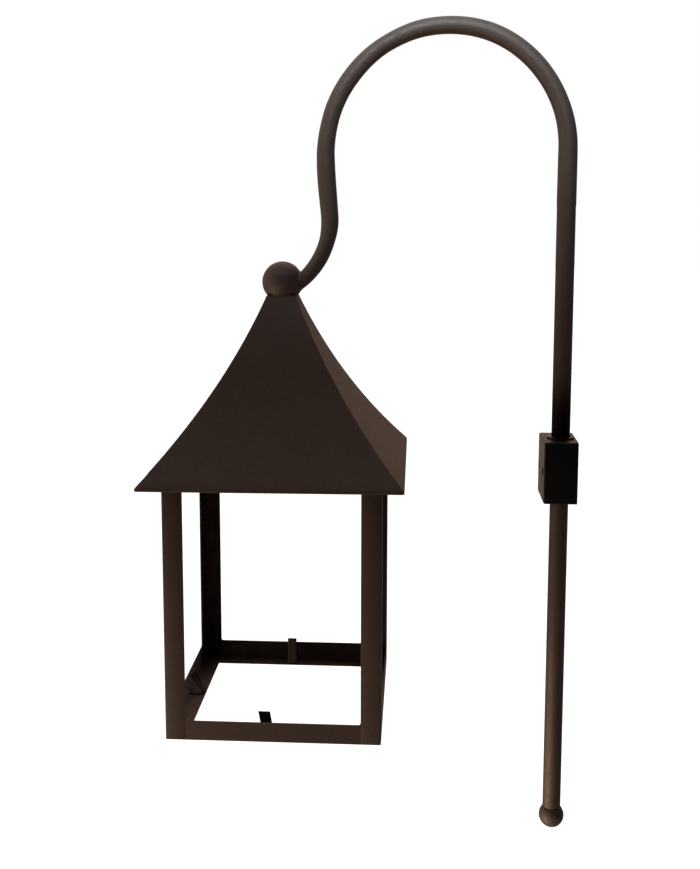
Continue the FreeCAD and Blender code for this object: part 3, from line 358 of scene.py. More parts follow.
def make_black_block():
    """Black coated casting with greyed corners, and painted light on its outward face: a brownish tone."""
    graph = new_graph("black_block_coat")
    base = graph.blend(graph.clouds(60, 4), colour(0.0004, 0.0004, 0.0004), colour(0.0009, 0.0008, 0.0008))
    worn = graph.math("MULTIPLY", graph.edges(0.8 * MM), graph.ramp(graph.noise(240, 3), 0.4, 0.7))
    base = graph.blend(graph.math("MULTIPLY", worn, 0.6), base, colour(0.02, 0.016, 0.014))
    # Painted light: the face turned towards -X gets a brownish tone, as if lit from that side.
    facing = graph.parts(graph.node("NewGeometry").outputs["Normal"])
    outward = graph.ramp(facing["X"], -0.6, -0.9)
    painted_side_light = graph.math("MULTIPLY", outward, graph.clouds(45, 4, 0.7, 1.0))
    base = graph.blend(painted_side_light, base, colour(0.085, 0.065, 0.053))
    rough = graph.clouds(400, 3, 0.36, 0.48)
    normal = graph.bump(graph.noise(900, 2), 0.04 * MM, 0.5)
    return graph.finish(Base_Color=base, Roughness=rough, Normal=normal, Specular_IOR_Level=0.1)


def make_plastic(name, dark, pale, rough, grain=1200, **extra):
    """Moulded plastic or rubber: faint cloudiness and a fine moulded grain."""
    graph = new_graph(name)
    base = graph.blend(graph.clouds(70), colour(*dark), colour(*pale))
    spread = graph.clouds(500, 3, rough - 0.07, rough + 0.07)
    normal = graph.bump(graph.noise(grain, 2), 0.03 * MM, 0.5)
    return graph.finish(Base_Color=base, Roughness=spread, Normal=normal, **extra)


def make_metal(name, dark, pale, rough):
    """Plated or turned metal with fine tool lines and duller patches."""
    graph = new_graph(name)
    lay = (1, 1, 12)
    base = graph.blend(graph.clouds(130, 4), colour(*dark), colour(*pale))
    bright = colour(*(min(1.0, 1.3 * part) for part in pale))
    base = graph.blend(graph.math("MULTIPLY", graph.edges(0.3 * MM), 0.35), base, bright)
    dull = graph.ramp(graph.noise(260, 3), 0.35, 0.7)
    spread = graph.ramp(dull, 0.0, 1.0, rough - 0.08, rough + 0.1)
    normal = graph.bump(graph.noise(900, 3, lay), 0.02 * MM, 0.5)
    return graph.finish(Base_Color=base, Roughness=spread, Metallic=1.0, Normal=normal)


def make_white_plate():
    """White enamel on sheet, slightly chalky with grey edges."""
    graph = new_graph("white_enamel")
    base = graph.blend(graph.clouds(40, 4), colour(0.60, 0.59, 0.56), colour(0.70, 0.69, 0.66))
    patchy = graph.ramp(graph.noise(180, 4), 0.4, 0.7, 0.2, 0.9)
    greyed = graph.math("MULTIPLY", graph.edges(1.2 * MM), patchy)
    base = graph.blend(greyed, base, colour(0.26, 0.24, 0.21))
    rough = graph.clouds(300, 3, 0.35, 0.5)
    normal = graph.bump(graph.noise(700, 2), 0.06 * MM, 0.5)
    return graph.finish(Base_Color=base, Roughness=rough, Normal=normal)


def make_lens():
    """Frosted lamp lens with faint moulded ripples about its middle."""
    graph = new_graph("frosted_lens")
    ripple_pitch = 3 * MM
    parts = graph.parts(graph.place)
    east_squared = graph.math("POWER", graph.math("SUBTRACT", parts["X"], AXIS_X), 2.0)
    north_squared = graph.math("POWER", parts["Y"], 2.0)
    distance = graph.math("SQRT", graph.math("ADD", east_squared, north_squared))
    ripple = graph.math("SINE", graph.math("MULTIPLY", distance, math.tau / ripple_pitch))
    base = graph.blend(graph.clouds(90), colour(0.72, 0.73, 0.70), colour(0.80, 0.80, 0.77))
    rough = graph.clouds(600, 2, 0.38, 0.5)
    return graph.finish(
        Base_Color=base,
        Roughness=rough,
        Transmission_Weight=0.6,
        IOR=1.49,
        Normal=graph.bump(ripple, 0.12 * MM, 0.6),
    )


def make_cell_wrap():
    """Heat-shrunk sleeve on the cell, banded with a paler stripe round each end."""
    graph = new_graph("cell_wrap")
    stripe = 26 * MM
    reach = graph.math("ABSOLUTE", graph.math("SUBTRACT", graph.parts(graph.place)["X"], AXIS_X))
    band = graph.ramp(reach, stripe, stripe + 0.4 * MM)
    base = graph.blend(band, colour(0.03, 0.16, 0.22), colour(0.42, 0.44, 0.42))
    rough = graph.clouds(200, 3, 0.24, 0.4)
    normal = graph.bump(graph.noise(260, 2), 0.05 * MM, 0.5)
    return graph.finish(Base_Color=base, Roughness=rough, Normal=normal)


def make_board_green():
    """Solder resist with copper tracks showing through as slightly raised paths."""
    graph = new_graph("board_resist")
    inputs = {"Vector": graph.place, "Scale": 260.0}
    cells = graph.node("TexVoronoi", inputs, feature="DISTANCE_TO_EDGE")
    track = graph.ramp(cells.outputs["Distance"], 0.10, 0.06)
    base = graph.blend(track, colour(0.006, 0.055, 0.022), colour(0.012, 0.10, 0.035))
    rough = graph.clouds(500, 2, 0.28, 0.4)
    return graph.finish(Base_Color=base, Roughness=rough, Normal=graph.bump(track, 0.03 * MM, 0.6))


def make_solar(name, dark, pale, rough, metallic=0.0):
    """Laminate layers under a textured clear film."""
    graph = new_graph(name)
    base = graph.blend(graph.ramp(graph.noise(85, 4), 0.35, 0.65), colour(*dark), colour(*pale))
    spread = graph.clouds(420, 3, rough - 0.05, rough + 0.07)
    dimple = graph.node("TexVoronoi", {"Vector": graph.place, "Scale": 900.0}).outputs["Distance"]
    return graph.finish(
        Base_Color=base,
        Roughness=spread,
        Metallic=metallic,
        Coat_Weight=0.7,
        Coat_Roughness=0.16,
        Normal=graph.bump(dimple, 0.04 * MM, 0.4),
    )


# Finishes by the record's material slot, and extra ones for the frame, pole, tabs and cells.
FINISHES = {
    "bronze_coat": make_bronze(),
    "bronze_frame": make_bronze("dark_bronze_frame", painted_inside_shade),
    "bronze_pole": make_bronze("dark_bronze_pole", painted_shade_above_block),
    "bronze_tab": make_bronze("dark_bronze_tab", painted_tab_shade),
    "black_block": make_black_block(),
    "black_steel": make_metal("blackened_steel", (0.03, 0.03, 0.032), (0.06, 0.058, 0.055), 0.38),
    "bush_plastic": make_plastic(
        "acetal_bush", (0.0012, 0.0012, 0.0013), (0.003, 0.003, 0.003), 0.36, Specular_IOR_Level=0.15
    ),
    "zinc_steel": make_metal("zinc_plate", (0.42, 0.42, 0.41), (0.62, 0.61, 0.57), 0.34),
    "white_plate": make_white_plate(),
    "lamp_plastic": make_plastic("lamp_housing", (0.045, 0.042, 0.040), (0.065, 0.061, 0.057), 0.45),
    "button_rubber": make_plastic("button_rubber", (0.05, 0.05, 0.05), (0.085, 0.085, 0.08), 0.6, 700),
    "gasket_rubber": make_plastic("gasket_rubber", (0.008, 0.008, 0.008), (0.016, 0.016, 0.016), 0.7, 600),
    "lens_plastic": make_lens(),
    "board_metal": make_metal("metal_core_board", (0.58, 0.58, 0.57), (0.74, 0.74, 0.72), 0.4),
    "led_phosphor": make_plastic("led_phosphor", (0.72, 0.56, 0.12), (0.80, 0.66, 0.18), 0.5, 2000),
    "cell_wrap": make_cell_wrap(),
    "board_green": make_board_green(),
    "component_black": make_plastic("moulded_black", (0.012, 0.012, 0.013), (0.022, 0.022, 0.023), 0.5, 1800),
    "standoff_brass": make_metal("standoff_brass", (0.50, 0.33, 0.11), (0.66, 0.46, 0.18), 0.32),
    "solar_cells": make_solar("laminate_back", (0.010, 0.011, 0.014), (0.018, 0.019, 0.022), 0.34),
    "cell_silicon": make_solar("cell_silicon", (0.004, 0.007, 0.030), (0.010, 0.018, 0.062), 0.24, 0.35),
    "cell_ribbon": make_solar("cell_ribbon", (0.50, 0.50, 0.50), (0.66, 0.66, 0.65), 0.3, 0.9),
}


def finish_cad_nodes():
    """Gives every carried-over node its finish, soft shading and slightly broken edges."""
    doubled, broken_width, crisp = 0.002 * MM, 0.22 * MM, 40
    for name, node in NODES.items():
        node.data.materials[0] = FINISHES[SLOT_OF[name]]
        node.data.shade_smooth()
        weld = node.modifiers.new("joined", "WELD")
        weld.merge_threshold = doubled
        broken = node.modifiers.new("broken_edges", "BEVEL")
        broken.width = broken_width
        broken.segments = 2
        broken.limit_method = "ANGLE"
        broken.angle_limit = math.radians(CORNER_ANGLE)
        broken.use_clamp_overlap = True
        split = node.modifiers.new("sharp", "EDGE_SPLIT")
        split.split_angle = math.radians(crisp)


# ---------------------------------------------------------------- gooseneck

NECK_LEAD = 56 * MM
ARCH_RADIUS = 121.5 * MM
ARCH_TURN = 184
DROP_LENGTH = 57.7 * MM
HOOK_RADIUS = 79 * MM
HOOK_TURN = 66
TUBE_WALL = 1.5 * MM
TUBE_BORE = TUBE_RADIUS - TUBE_WALL
SLEEVE_REACH = 41 * MM
NECK_STEPS = 72

# Length and bend radius of each stretch of the tube, and 1 or -1 where it bends to the left or
# right of its heading. The last stretch runs on into the ball.
STRETCHES = (
    (NECK_LEAD, None, 0),
    (ARCH_RADIUS * math.radians(ARCH_TURN), ARCH_RADIUS, 1),
    (DROP_LENGTH, None, 0),
    (HOOK_RADIUS * math.radians(HOOK_TURN), HOOK_RADIUS, -1),
    (1.0, None, 0),
)
NECK_LENGTH = sum(length for length, _, _ in STRETCHES[:-1])

# Hand bending left its marks: millimetres along the tube, the section's height in the plane of
# the bends as a share of the tube's, and how many millimetres it strays out from the true line.
BENDING = (
    (0, 1.03, 0.0),
    (40, 1.02, 0.1),
    (110, 0.945, 0.3),
    (195, 0.95, 1.2),
    (265, 0.91, 0.0),
    (310, 0.87, -1.1),
    (357, 0.91, -1.7),
    (407, 0.91, -1.1),
    (467, 0.99, 1.0),
    (510, 0.94, 0.45),
    (535, 0.84, 0.6),
    (590, 0.80, 0.0),
    (640, 0.80, 0.0),
)


def neck_point(along):
    """Centreline point and heading in degrees at a length along the gooseneck."""
    point, heading = Vector((POLE_X, 0, JOINT_Z)), 90.0
    for length, radius, side in STRETCHES:
        part = min(along, length)
        if radius is None:
            point = point + part * heading_vector(heading)
        else:
            centre = point + side * radius * inward_vector(heading)
            heading += side * math.degrees(part / radius)
            point = centre - side * radius * inward_vector(heading)
        along -= part
        if along <= 0:
            break
    return point, heading


def heading_vector(heading):
    return Vector((math.cos(math.radians(heading)), 0, math.sin(math.radians(heading))))


def inward_vector(heading):
    """To the left of the heading: inside the arch, and the underside at the ball."""
    return Vector((-math.sin(math.radians(heading)), 0, math.cos(math.radians(heading))))


def bending(along):
    """Section height and stray at a length along the tube, eased between the places above."""
    for before, after in zip(BENDING, BENDING[1:]):
        if along <= after[0] * MM:
            share = smooth((along / MM - before[0]) / (after[0] - before[0]))
            return mix(before[1], after[1], share), mix(before[2], after[2], share) * MM
    return BENDING[-1][1:]


def neck_spoke(along, turn):
    """From the centreline to the tube's skin at an angle round the section."""
    inward = inward_vector(neck_point(along)[1])
    tall, stray = bending(along)
    across = inward * tall * math.cos(turn) + Vector((0, (2 - tall) * math.sin(turn), 0))
    return across * TUBE_RADIUS - inward * stray


BRAZE_LEAST = 1.2 * MM
BRAZE_MOST = 14.5 * MM
BRAZE_GROWTH = 1.5
BRAZE_SINK = 0.12


def braze_contact(turn):
    """Where the braze's rolling-ball arc touches the tube, for one angle round the tube."""
    radius = mix(BRAZE_LEAST, BRAZE_MOST, ((1 + math.cos(turn)) / 2) ** BRAZE_GROWTH)
    near, far = NECK_LENGTH - 70 * MM, NECK_LENGTH + 10 * MM
    for _ in range(40):
        along = (near + far) / 2
        spoke = neck_spoke(along, turn)
        hub = neck_point(along)[0] + spoke + spoke.normalized() * radius
        if (hub - BALL).length > BALL_RADIUS + radius:
            near = along
        else:
            far = along
    return along, hub, radius


def tube_rings(turns, ends):
    """Sections square to the tube, then slanted ones that end where the braze starts."""
    last_square = NECK_LENGTH - 75 * MM
    square, slanted = 230, 36
    rings = []
    for index in range(square + 1):
        along = mix(0, last_square, index / square)
        centre = neck_point(along)[0]
        rings.append([centre + neck_spoke(along, turn) for turn in turns])
    for index in range(1, slanted + 1):
        ring = []
        for turn, end in zip(turns, ends):
            along = mix(last_square, end, index / slanted)
            ring.append(neck_point(along)[0] + neck_spoke(along, turn))
        rings.append(ring)
    return rings


def braze_rings(turns, contacts):
    """The braze's concave face, and a last ring sunk into the ball."""
    steps = 14
    rings = []
    for index in range(1, steps + 1):
        ring = []
        for turn, (end, hub, radius) in zip(turns, contacts):
            start = (neck_point(end)[0] + neck_spoke(end, turn) - hub).normalized()
            finish = (BALL - hub).normalized()
            ring.append(hub + start.slerp(finish, index / steps) * radius)
        rings.append(ring)
    rings.append([mix(point, BALL, BRAZE_SINK) for point in rings[-1]])
    return rings


def make_gooseneck():
    """The bent tube, bored for the sleeve, with the braze that flows from it over the ball."""
    turns = [math.tau * step / NECK_STEPS for step in range(NECK_STEPS)]
    contacts = [braze_contact(turn) for turn in turns]
    rings = []
    for along in (SLEEVE_REACH, 0):
        centre = neck_point(along)[0]
        rings.append([centre + neck_spoke(along, turn).normalized() * TUBE_BORE for turn in turns])
    rings += tube_rings(turns, [end for end, _, _ in contacts])
    rings += braze_rings(turns, contacts)
    bm = bmesh.new()
    skin(bm, rings)
    piece("gooseneck_tube_finished", bm, "gooseneck_tube", sharp=50)


# ---------------------------------------------------------------- pole and foot ball


def make_pole():
    """Straight tube. Its top rim is barely broken, so the weld to the gooseneck hardly shows."""
    rim, stretches = 0.08 * MM, 32
    top = JOINT_Z - rim
    outside = [(TUBE_RADIUS, mix(POLE_FOOT, top, step / stretches)) for step in range(stretches + 1)]
    profile = [(TUBE_BORE, JOINT_Z), (TUBE_BORE, POLE_FOOT), *outside, (TUBE_RADIUS - rim, JOINT_Z)]
    bm = bmesh.new()
    lathe(bm, profile, (POLE_X, 0, 0), closed=True)
    piece("mast_pole_finished", bm, "mast_pole", finish="bronze_pole")


def make_foot_ball():
    """Ball finial: spigot in the pole, a short collar, and the ball with a groove above it."""
    low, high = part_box("end_ball")
    radius = half_width("end_ball")
    centre = low.z + radius
    spigot, chamfer, groove = TUBE_BORE - 0.05 * MM, 0.8 * MM, 1.1 * MM
    collar_top = POLE_FOOT - 0.01 * MM
    shoulder = math.degrees(math.asin(TUBE_RADIUS / radius))
    neck_z = centre + radius * math.cos(math.radians(shoulder))
    profile = [
        (spigot - chamfer, high.z),
        (spigot, high.z - chamfer),
        (spigot, collar_top),
        (TUBE_RADIUS, collar_top),
        (TUBE_RADIUS, neck_z + groove),
        (TUBE_RADIUS - groove, neck_z + groove / 2),
    ]
    nearly_down = -89.2
    ball = arc(0, centre, radius, 90 - shoulder, nearly_down, 60)
    bm = bmesh.new()
    lathe(bm, profile + ball, (POLE_X, 0, 0))
    piece("end_ball_finished", bm, "end_ball")


# ---------------------------------------------------------------- roof

EAVE_HALF = half_width("roof_panel_front")
EAVE_DROP = 0.8 * MM
EAVE_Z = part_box("roof_panel_front")[0].z - EAVE_DROP
ROOF_TOP_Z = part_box("roof_panel_front")[1].z
ROOF_TOP_HALF = max(
    abs(vert.co.y)
    for vert in NODES["roof_panel_front"].data.vertices
    if vert.co.z > ROOF_TOP_Z - 0.01 * MM
)
FLARE_RADIUS = 596 * MM
ROOF_SHEET = 1.2 * MM
LIP = 2.8 * MM
HIP_ROUND = 0.7 * MM
LIP_ROUND = 2.6 * MM
SCALLOP_RADIUS = BALL_RADIUS + 0.3 * MM
ROOF_LEAN = math.radians(0.25)
DENT_DEPTH = 0.45 * MM


def flare_centre():
    """Centre of the concave arc from the top of the eave's lip to the roof's mouth."""
    eave = Vector((EAVE_HALF - 0.2 * MM, EAVE_Z + LIP))
    top = Vector((ROOF_TOP_HALF, ROOF_TOP_Z))
    chord = top - eave
    outward = Vector((chord.y, -chord.x)).normalized()
    rise = math.sqrt(FLARE_RADIUS**2 - chord.length_squared / 4)
    return (eave + top) / 2 + outward * rise


FLARE_CENTRE = flare_centre()


def roof_half(height, depth=0.0):
    """The roof's half width at a height, or that of a skin some depth below it."""
    return FLARE_CENTRE.x - math.sqrt((FLARE_RADIUS + depth) ** 2 - (height - FLARE_CENTRE.y) ** 2)


def settled(point):
    """The roof sits slightly crooked: its eave is lower on the left than on the right."""
    rise = (point.z - EAVE_Z) / (ROOF_TOP_Z - EAVE_Z)
    return point + Vector((0, 0, (point.x - AXIS_X) * ROOF_LEAN * (1 - rise)))


def turned_out(point, side):
    """Moves a point drawn on a side facing +X about the lantern's axis to its own side."""
    placed = Matrix.Rotation(math.radians(TURNS[side]), 3, "Z") @ Vector(point)
    return placed + Vector((AXIS_X, 0, 0))


def roof_top(slant, depth=0.0):
    """Height where a sheet ends: at the mouth, or lower where it is scalloped round the ball.
    slant is how far along the sheet's width the place is, from 0 in the middle to 1 at a hip."""
    deepest = 12 * MM
    low, high = ROOF_TOP_Z - deepest, ROOF_TOP_Z

    def clears(height):
        half = roof_half(height, depth)
        return math.hypot(half, slant * half, height - BALL.z) > SCALLOP_RADIUS

    if clears(high):
        return high
    for _ in range(30):
        height = (low + high) / 2
        low, high = (height, high) if clears(height) else (low, height)
    return low


def sheet_profile(slant):
    """(half width, height, hip rounding) up the outside and down the inside of a roof sheet."""
    steps = 44
    edge, hem = 0.45 * MM, 2.3 * MM
    lip_x = EAVE_HALF - 0.1 * MM
    start = EAVE_Z + LIP + edge
    outside = [
        (lip_x - edge, EAVE_Z),
        (lip_x - 0.3 * edge, EAVE_Z + 0.3 * edge),
        (lip_x, EAVE_Z + edge),
        (lip_x, EAVE_Z + LIP - edge),
    ]
    inside = [
        (lip_x - hem + 0.2 * MM, EAVE_Z),
        (lip_x - hem, EAVE_Z + 0.3 * MM),
        (lip_x - hem, EAVE_Z + 0.6 * MM),
        (lip_x - hem - 0.05 * MM, EAVE_Z + 0.9 * MM),
    ]
    for layer, depth in ((outside, 0.0), (inside, ROOF_SHEET)):
        top = roof_top(slant, depth)
        for step in range(steps + 1):
            height = mix(start, top, step / steps)
            layer.append((roof_half(height, depth), height))
    profile = []
    for half, height in outside:
        near_lip = smooth(1 - (height - EAVE_Z - LIP) / (4 * MM))
        profile.append((half, height, mix(HIP_ROUND, LIP_ROUND, near_lip)))
    return profile + [(half, height, HIP_ROUND / 2) for half, height in inside[::-1]]


def make_roof_sheet(side, seed):
    """One flared sheet: hand-worked face, turned-down lip at the eave, and rounded hips."""
    flats, bends, bend_angle = 36, 4, 45
    columns = [(-1, bend_angle * step / bends) for step in range(bends, 0, -1)]
    columns += [(-1 + 2 * step / flats, 0) for step in range(flats + 1)]
    columns += [(1, bend_angle * step / bends) for step in range(1, bends + 1)]
    rings = []
    for slant, bend in columns:
        angle = math.radians(bend)
        ring = []
        for half, height, hip in sheet_profile(abs(slant)):
            x = half - hip * (1 - math.cos(angle))
            y = slant * (half - hip + hip * math.sin(angle))
            place = (x + dents(y / half, y, height, seed), y, height)
            ring.append(settled(turned_out(place, side)))
        rings.append(ring)
    bm = bmesh.new()
    rows = skin(bm, rings, caps=False)
    for row in (rows[0], rows[-1]):
        for index in range(len(row) // 2 - 1):
            bm.faces.new((row[index], row[index + 1], row[-index - 2], row[-index - 1]))
    piece(f"roof_panel_{side}_finished", bm, f"roof_panel_{side}", sharp=40)


def dents(slant, y, height, seed):
    """Shallow unevenness of a hand-worked sheet, dying away towards its edges."""
    rise = (height - EAVE_Z) / (ROOF_TOP_Z - EAVE_Z)
    away = max(0.0, 1 - slant**2) * math.sin(math.pi * min(1.0, max(0.0, rise)))
    per_metre, apart = 14, 3.7
    place = Vector((y * per_metre, height * per_metre, seed * apart))
    return DENT_DEPTH * away * noise.noise(place)


def make_roof():
    for seed, side in enumerate(TURNS, start=1):
        make_roof_sheet(side, seed)


# ---------------------------------------------------------------- solar laminate

LAMINATE_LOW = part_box("solar_laminate")[0].z
LAMINATE_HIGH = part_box("solar_laminate")[1].z
LAMINATE_MARGIN = 9 * MM
LAMINATE_THICK = 0.5 * MM
CELL_ROWS = 5
CELL_WIDE = 30 * MM
CELL_GAP = 1.6 * MM
CELL_BORDER = 5 * MM
CELL_THICK = 0.15 * MM
RIBBON_HALF = 0.8 * MM
RIBBON_THICK = 0.08 * MM


def on_roof(height, y, proud):
    """A point some distance proud of the left roof sheet."""
    x = roof_half(height, -proud)
    return settled(turned_out((x, y, height), "left"))


def roof_patch(bm, low, high, reach_low, reach_high, centre, under, over, steps=(8, 10)):
    """A closed curved tile on the left roof sheet between two heights, with a half width at each
    and its underside and top at two distances from the sheet."""
    rows, columns = steps
    layers = []
    chamfer = (over - under) / 2
    for proud, inset in ((under, 0.0), (over - chamfer, 0.0), (over, chamfer)):
        layer = []
        for row in range(rows + 1):
            share = row / rows
            height = mix(low + inset, high - inset, share)
            reach = mix(reach_low, reach_high, share) - inset
            across = [centre + reach * (2 * column / columns - 1) for column in range(columns + 1)]
            layer.append([bm.verts.new(on_roof(height, y, proud)) for y in across])
        layers.append(layer)
    bottom, rim, top = layers
    for layer in (bottom, top):
        for near, far in zip(layer, layer[1:]):
            for column in range(columns):
                bm.faces.new((near[column], near[column + 1], far[column + 1], far[column]))
    for lower, upper in ((bottom, rim), (rim, top)):
        for first, last in zip(outline_of(lower), outline_of(upper)):
            bm.faces.new((first[0], first[1], last[1], last[0]))


def outline_of(grid):
    """Edges round the border of a grid of points, in order."""
    border = grid[0][:-1]
    border += [line[-1] for line in grid[:-1]]
    border += grid[-1][:0:-1]
    border += [line[0] for line in grid[:0:-1]]
    return list(zip(border, border[1:] + border[:1]))


def make_laminate_back():
    """Backing sheet, with sides parallel to the hips."""
    low, high = LAMINATE_LOW, LAMINATE_HIGH
    reach_low = roof_half(low) - LAMINATE_MARGIN
    reach_high = roof_half(high) - LAMINATE_MARGIN
    glue = 0.02 * MM
    bm = bmesh.new()
    roof_patch(bm, low, high, reach_low, reach_high, 0, glue, LAMINATE_THICK, steps=(24, 30))
    for vert in bm.verts:
        fit_to_margin(vert)
    piece("solar_laminate_back", bm, "solar_laminate")


def make_cells():
    """Rows of cut cells, as many across as fit, and the ribbons that join them."""
    cells, ribbons = bmesh.new(), bmesh.new()
    over = LAMINATE_THICK + CELL_THICK
    pitch = (LAMINATE_HIGH - LAMINATE_LOW - 2 * CELL_BORDER + CELL_GAP) / CELL_ROWS
    for row in range(CELL_ROWS):
        low = LAMINATE_LOW + CELL_BORDER + row * pitch
        high = low + pitch - CELL_GAP
        reach = roof_half(high) - LAMINATE_MARGIN - CELL_BORDER
        across = max(1, int((2 * reach + CELL_GAP) // (CELL_WIDE + CELL_GAP)))
        for index in range(across):
            centre = (index - (across - 1) / 2) * (CELL_WIDE + CELL_GAP)
            half = CELL_WIDE / 2
            roof_patch(cells, low, high, half, half, centre, LAMINATE_THICK / 2, over)
            for side in (-1, 1):
                add_ribbon(ribbons, low, high, centre + side * CELL_WIDE / 4)
    for name, bm, finish in (("cells", cells, "cell_silicon"), ("ribbons", ribbons, "cell_ribbon")):
        piece(f"solar_laminate_{name}", bm, "solar_laminate", finish=finish, extra=True)


def add_ribbon(bm, low, high, centre):
    """A ribbon up one row of cells and half way into the gaps below and above it."""
    under = LAMINATE_THICK
    over = LAMINATE_THICK + CELL_THICK + RIBBON_THICK
    low, high = low - CELL_GAP / 2, high + CELL_GAP / 2
    roof_patch(bm, low, high, RIBBON_HALF, RIBBON_HALF, centre, under, over)


def fit_to_margin(vert):
    """Draws a point of the backing in or out so that its sides run parallel to the hips."""
    half = roof_half(vert.co.z)
    low, high = roof_half(LAMINATE_LOW), roof_half(LAMINATE_HIGH)
    share = (vert.co.z - LAMINATE_LOW) / (LAMINATE_HIGH - LAMINATE_LOW)
    straight = mix(low, high, share) - LAMINATE_MARGIN
    vert.co.y *= (half - LAMINATE_MARGIN) / straight


# ---------------------------------------------------------------- frame


def from_axis(point):
    """A point's distances from the lantern's axis along X and Y."""
    return abs(point.x - AXIS_X), abs(point.y)


def is_outside(point):
    return max(from_axis(point)) > FRAME_HALF - CLOSE


def is_bend(edge, low):
    """The folded outer edges: a post's upright corner, and the bottom edge of posts and rails."""
    ends = [vert.co for vert in edge.verts]
    upright = all(min(from_axis(end)) > FRAME_HALF - CLOSE for end in ends)
    bottom = all(end.z < low + CLOSE and is_outside(end) for end in ends)
    return upright or bottom


def is_butted(edge):
    """Edges of a rail's end faces, which run into the posts and the next ledge without a seam."""
    reaches = [from_axis(vert.co) for vert in edge.verts]
    return all(abs(min(reach) - RAIL_END) < CLOSE or abs(reach[0] - reach[1]) < CLOSE for reach in reaches)


def make_angle_part(node):
    """Post or rail of folded angle with a round fold and slightly broken cut edges."""
    bm = clean_copy(node)
    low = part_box(node)[0].z
    fold, broken = 1.4 * MM, 0.25 * MM
    is_rail = "rail" in node
    bevel(bm, lambda edge: is_bend(edge, low), fold, 4)
    bevel(bm, lambda edge: not (is_rail and is_butted(edge)), broken, 2)
    piece(f"{node}_finished", bm, node, sharp=32, finish="bronze_frame")


def make_frame():
    for node in NODES:
        if node.startswith(("post_", "bottom_rail_", "top_rail_")):
            make_angle_part(node)


def corner_weld(bm, side, hand, level, up):
    """A concave weld in one corner of a window: its outline at the outside and inside of the sheet."""
    size, sunk, inset = 1.9 * MM, -0.4 * MM, 0.03 * MM
    outline = [(sunk, sunk), (size, sunk), *arc(size, size, size, 270, 180, 6), (sunk, size)]
    rings = []
    for x in (FRAME_HALF - inset, FRAME_HALF - SHEET + inset):
        places = [(x, hand * (RAIL_END - along), level + up * rise) for along, rise in outline]
        rings.append([turned_out(place, side) for place in places])
    skin(bm, rings)


def make_welds():
    """Small welds in the corners of the four window openings."""
    bm = bmesh.new()
    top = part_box("top_rail_front")[0].z
    bottom = BASE_Z + RAIL_HEIGHT
    for side in TURNS:
        for level, up in ((bottom, 1), (top, -1)):
            for hand in (-1, 1):
                corner_weld(bm, side, hand, level, up)
    piece("window_corner_welds", bm, "post_front_left", sharp=40, extra=True)


# ---------------------------------------------------------------- glass tabs

TAB_THICK = 0.9 * MM
TAB_FOOT = 17 * MM
TAB_BEND = 1.5 * MM
TAB_BEND_RISE = 2 * MM


def tab_line(lean, length):
    """(outwards, up, length of leaf) points along the middle of a tab, from its foot to its tip."""
    foot, bend, leaf = 10, 8, 16
    middle_up = TAB_THICK / 2
    corner = RAIL_END + TAB_THICK / 2 + TAB_BEND
    points = [(mix(RAIL_END + TAB_FOOT, corner, step / foot), middle_up, 0.0) for step in range(foot)]
    for step in range(bend + 1):
        angle = (math.pi / 2 - lean) * step / bend
        out = corner - TAB_BEND * math.sin(angle)
        up = middle_up + TAB_BEND * (1 - math.cos(angle))
        points.append((out, up, 0.0))
    for step in range(1, leaf + 1):
        reach = length * step / leaf
        points.append((out + reach * math.sin(lean), up + reach * math.cos(lean), reach))
    return points


def make_tab(side, lean, tilt=0, twist=0, spread=1.0):
    """Bent strip: a flat foot on the ledge and a hand-bent leaf, which may lean into the window,
    tilt along the rail, twist, or be hammered wider than the strip it was cut from. Angles are
    in degrees."""
    node = f"glass_tab_{side}"
    low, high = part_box(node)
    axis = Vector((AXIS_X, 0, 0))
    outward = turned_out((1, 0, 0), side) - axis
    sideways = Vector((-outward.y, outward.x, 0))
    along = ((low + high) / 2 - axis).dot(sideways)
    half = spread * abs((high - low).dot(sideways)) / 2
    lean, tilt, twist = (math.radians(angle) for angle in (lean, tilt, twist))
    length = (high.z - low.z) / math.cos(lean) - TAB_BEND_RISE
    points = tab_line(lean, length)
    rings = []
    for index, (out, up, reach) in enumerate(points):
        before, after = points[max(0, index - 1)], points[min(len(points) - 1, index + 1)]
        run = Vector((after[0] - before[0], after[1] - before[1])).normalized()
        across = Vector((run.y, -run.x))
        spin = twist * smooth(reach / length)
        slip = reach * math.tan(tilt)
        ring = []
        for u, v in rounded_strip(half, TAB_THICK / 2):
            depth = v * math.cos(spin) + u * math.sin(spin)
            level = u * math.cos(spin) - v * math.sin(spin)
            point = outward * (out + across.x * depth) + sideways * (along + level + slip)
            ring.append(point + Vector((AXIS_X, 0, low.z + up + across.y * depth)))
        rings.append(ring)
    bm = bmesh.new()
    skin(bm, rings)
    piece(f"{node}_finished", bm, node, sharp=40, finish="bronze_tab")


def rounded_strip(half, thin):
    """Outline of a strip's section: flat faces and rounded sides."""
    rows, flat = 6, half - thin
    points = [(mix(-flat, flat, step / rows), -thin) for step in range(rows + 1)]
    points += arc(flat, 0, thin, -60, 60, 4)
    points += [(mix(flat, -flat, step / rows), thin) for step in range(rows + 1)]
    points += arc(-flat, 0, thin, 120, 240, 4)
    return points


def make_tabs():
    make_tab("back", 0)
    make_tab("left", 32, twist=24)
    make_tab("front", 4, tilt=-9, spread=1.2)
    make_tab("right", 12)


# ---------------------------------------------------------------- stage, light and camera

FLOOR_REACH = 30
FLOOR_Z = -1.45
FLOOR_GLOW = 0.9


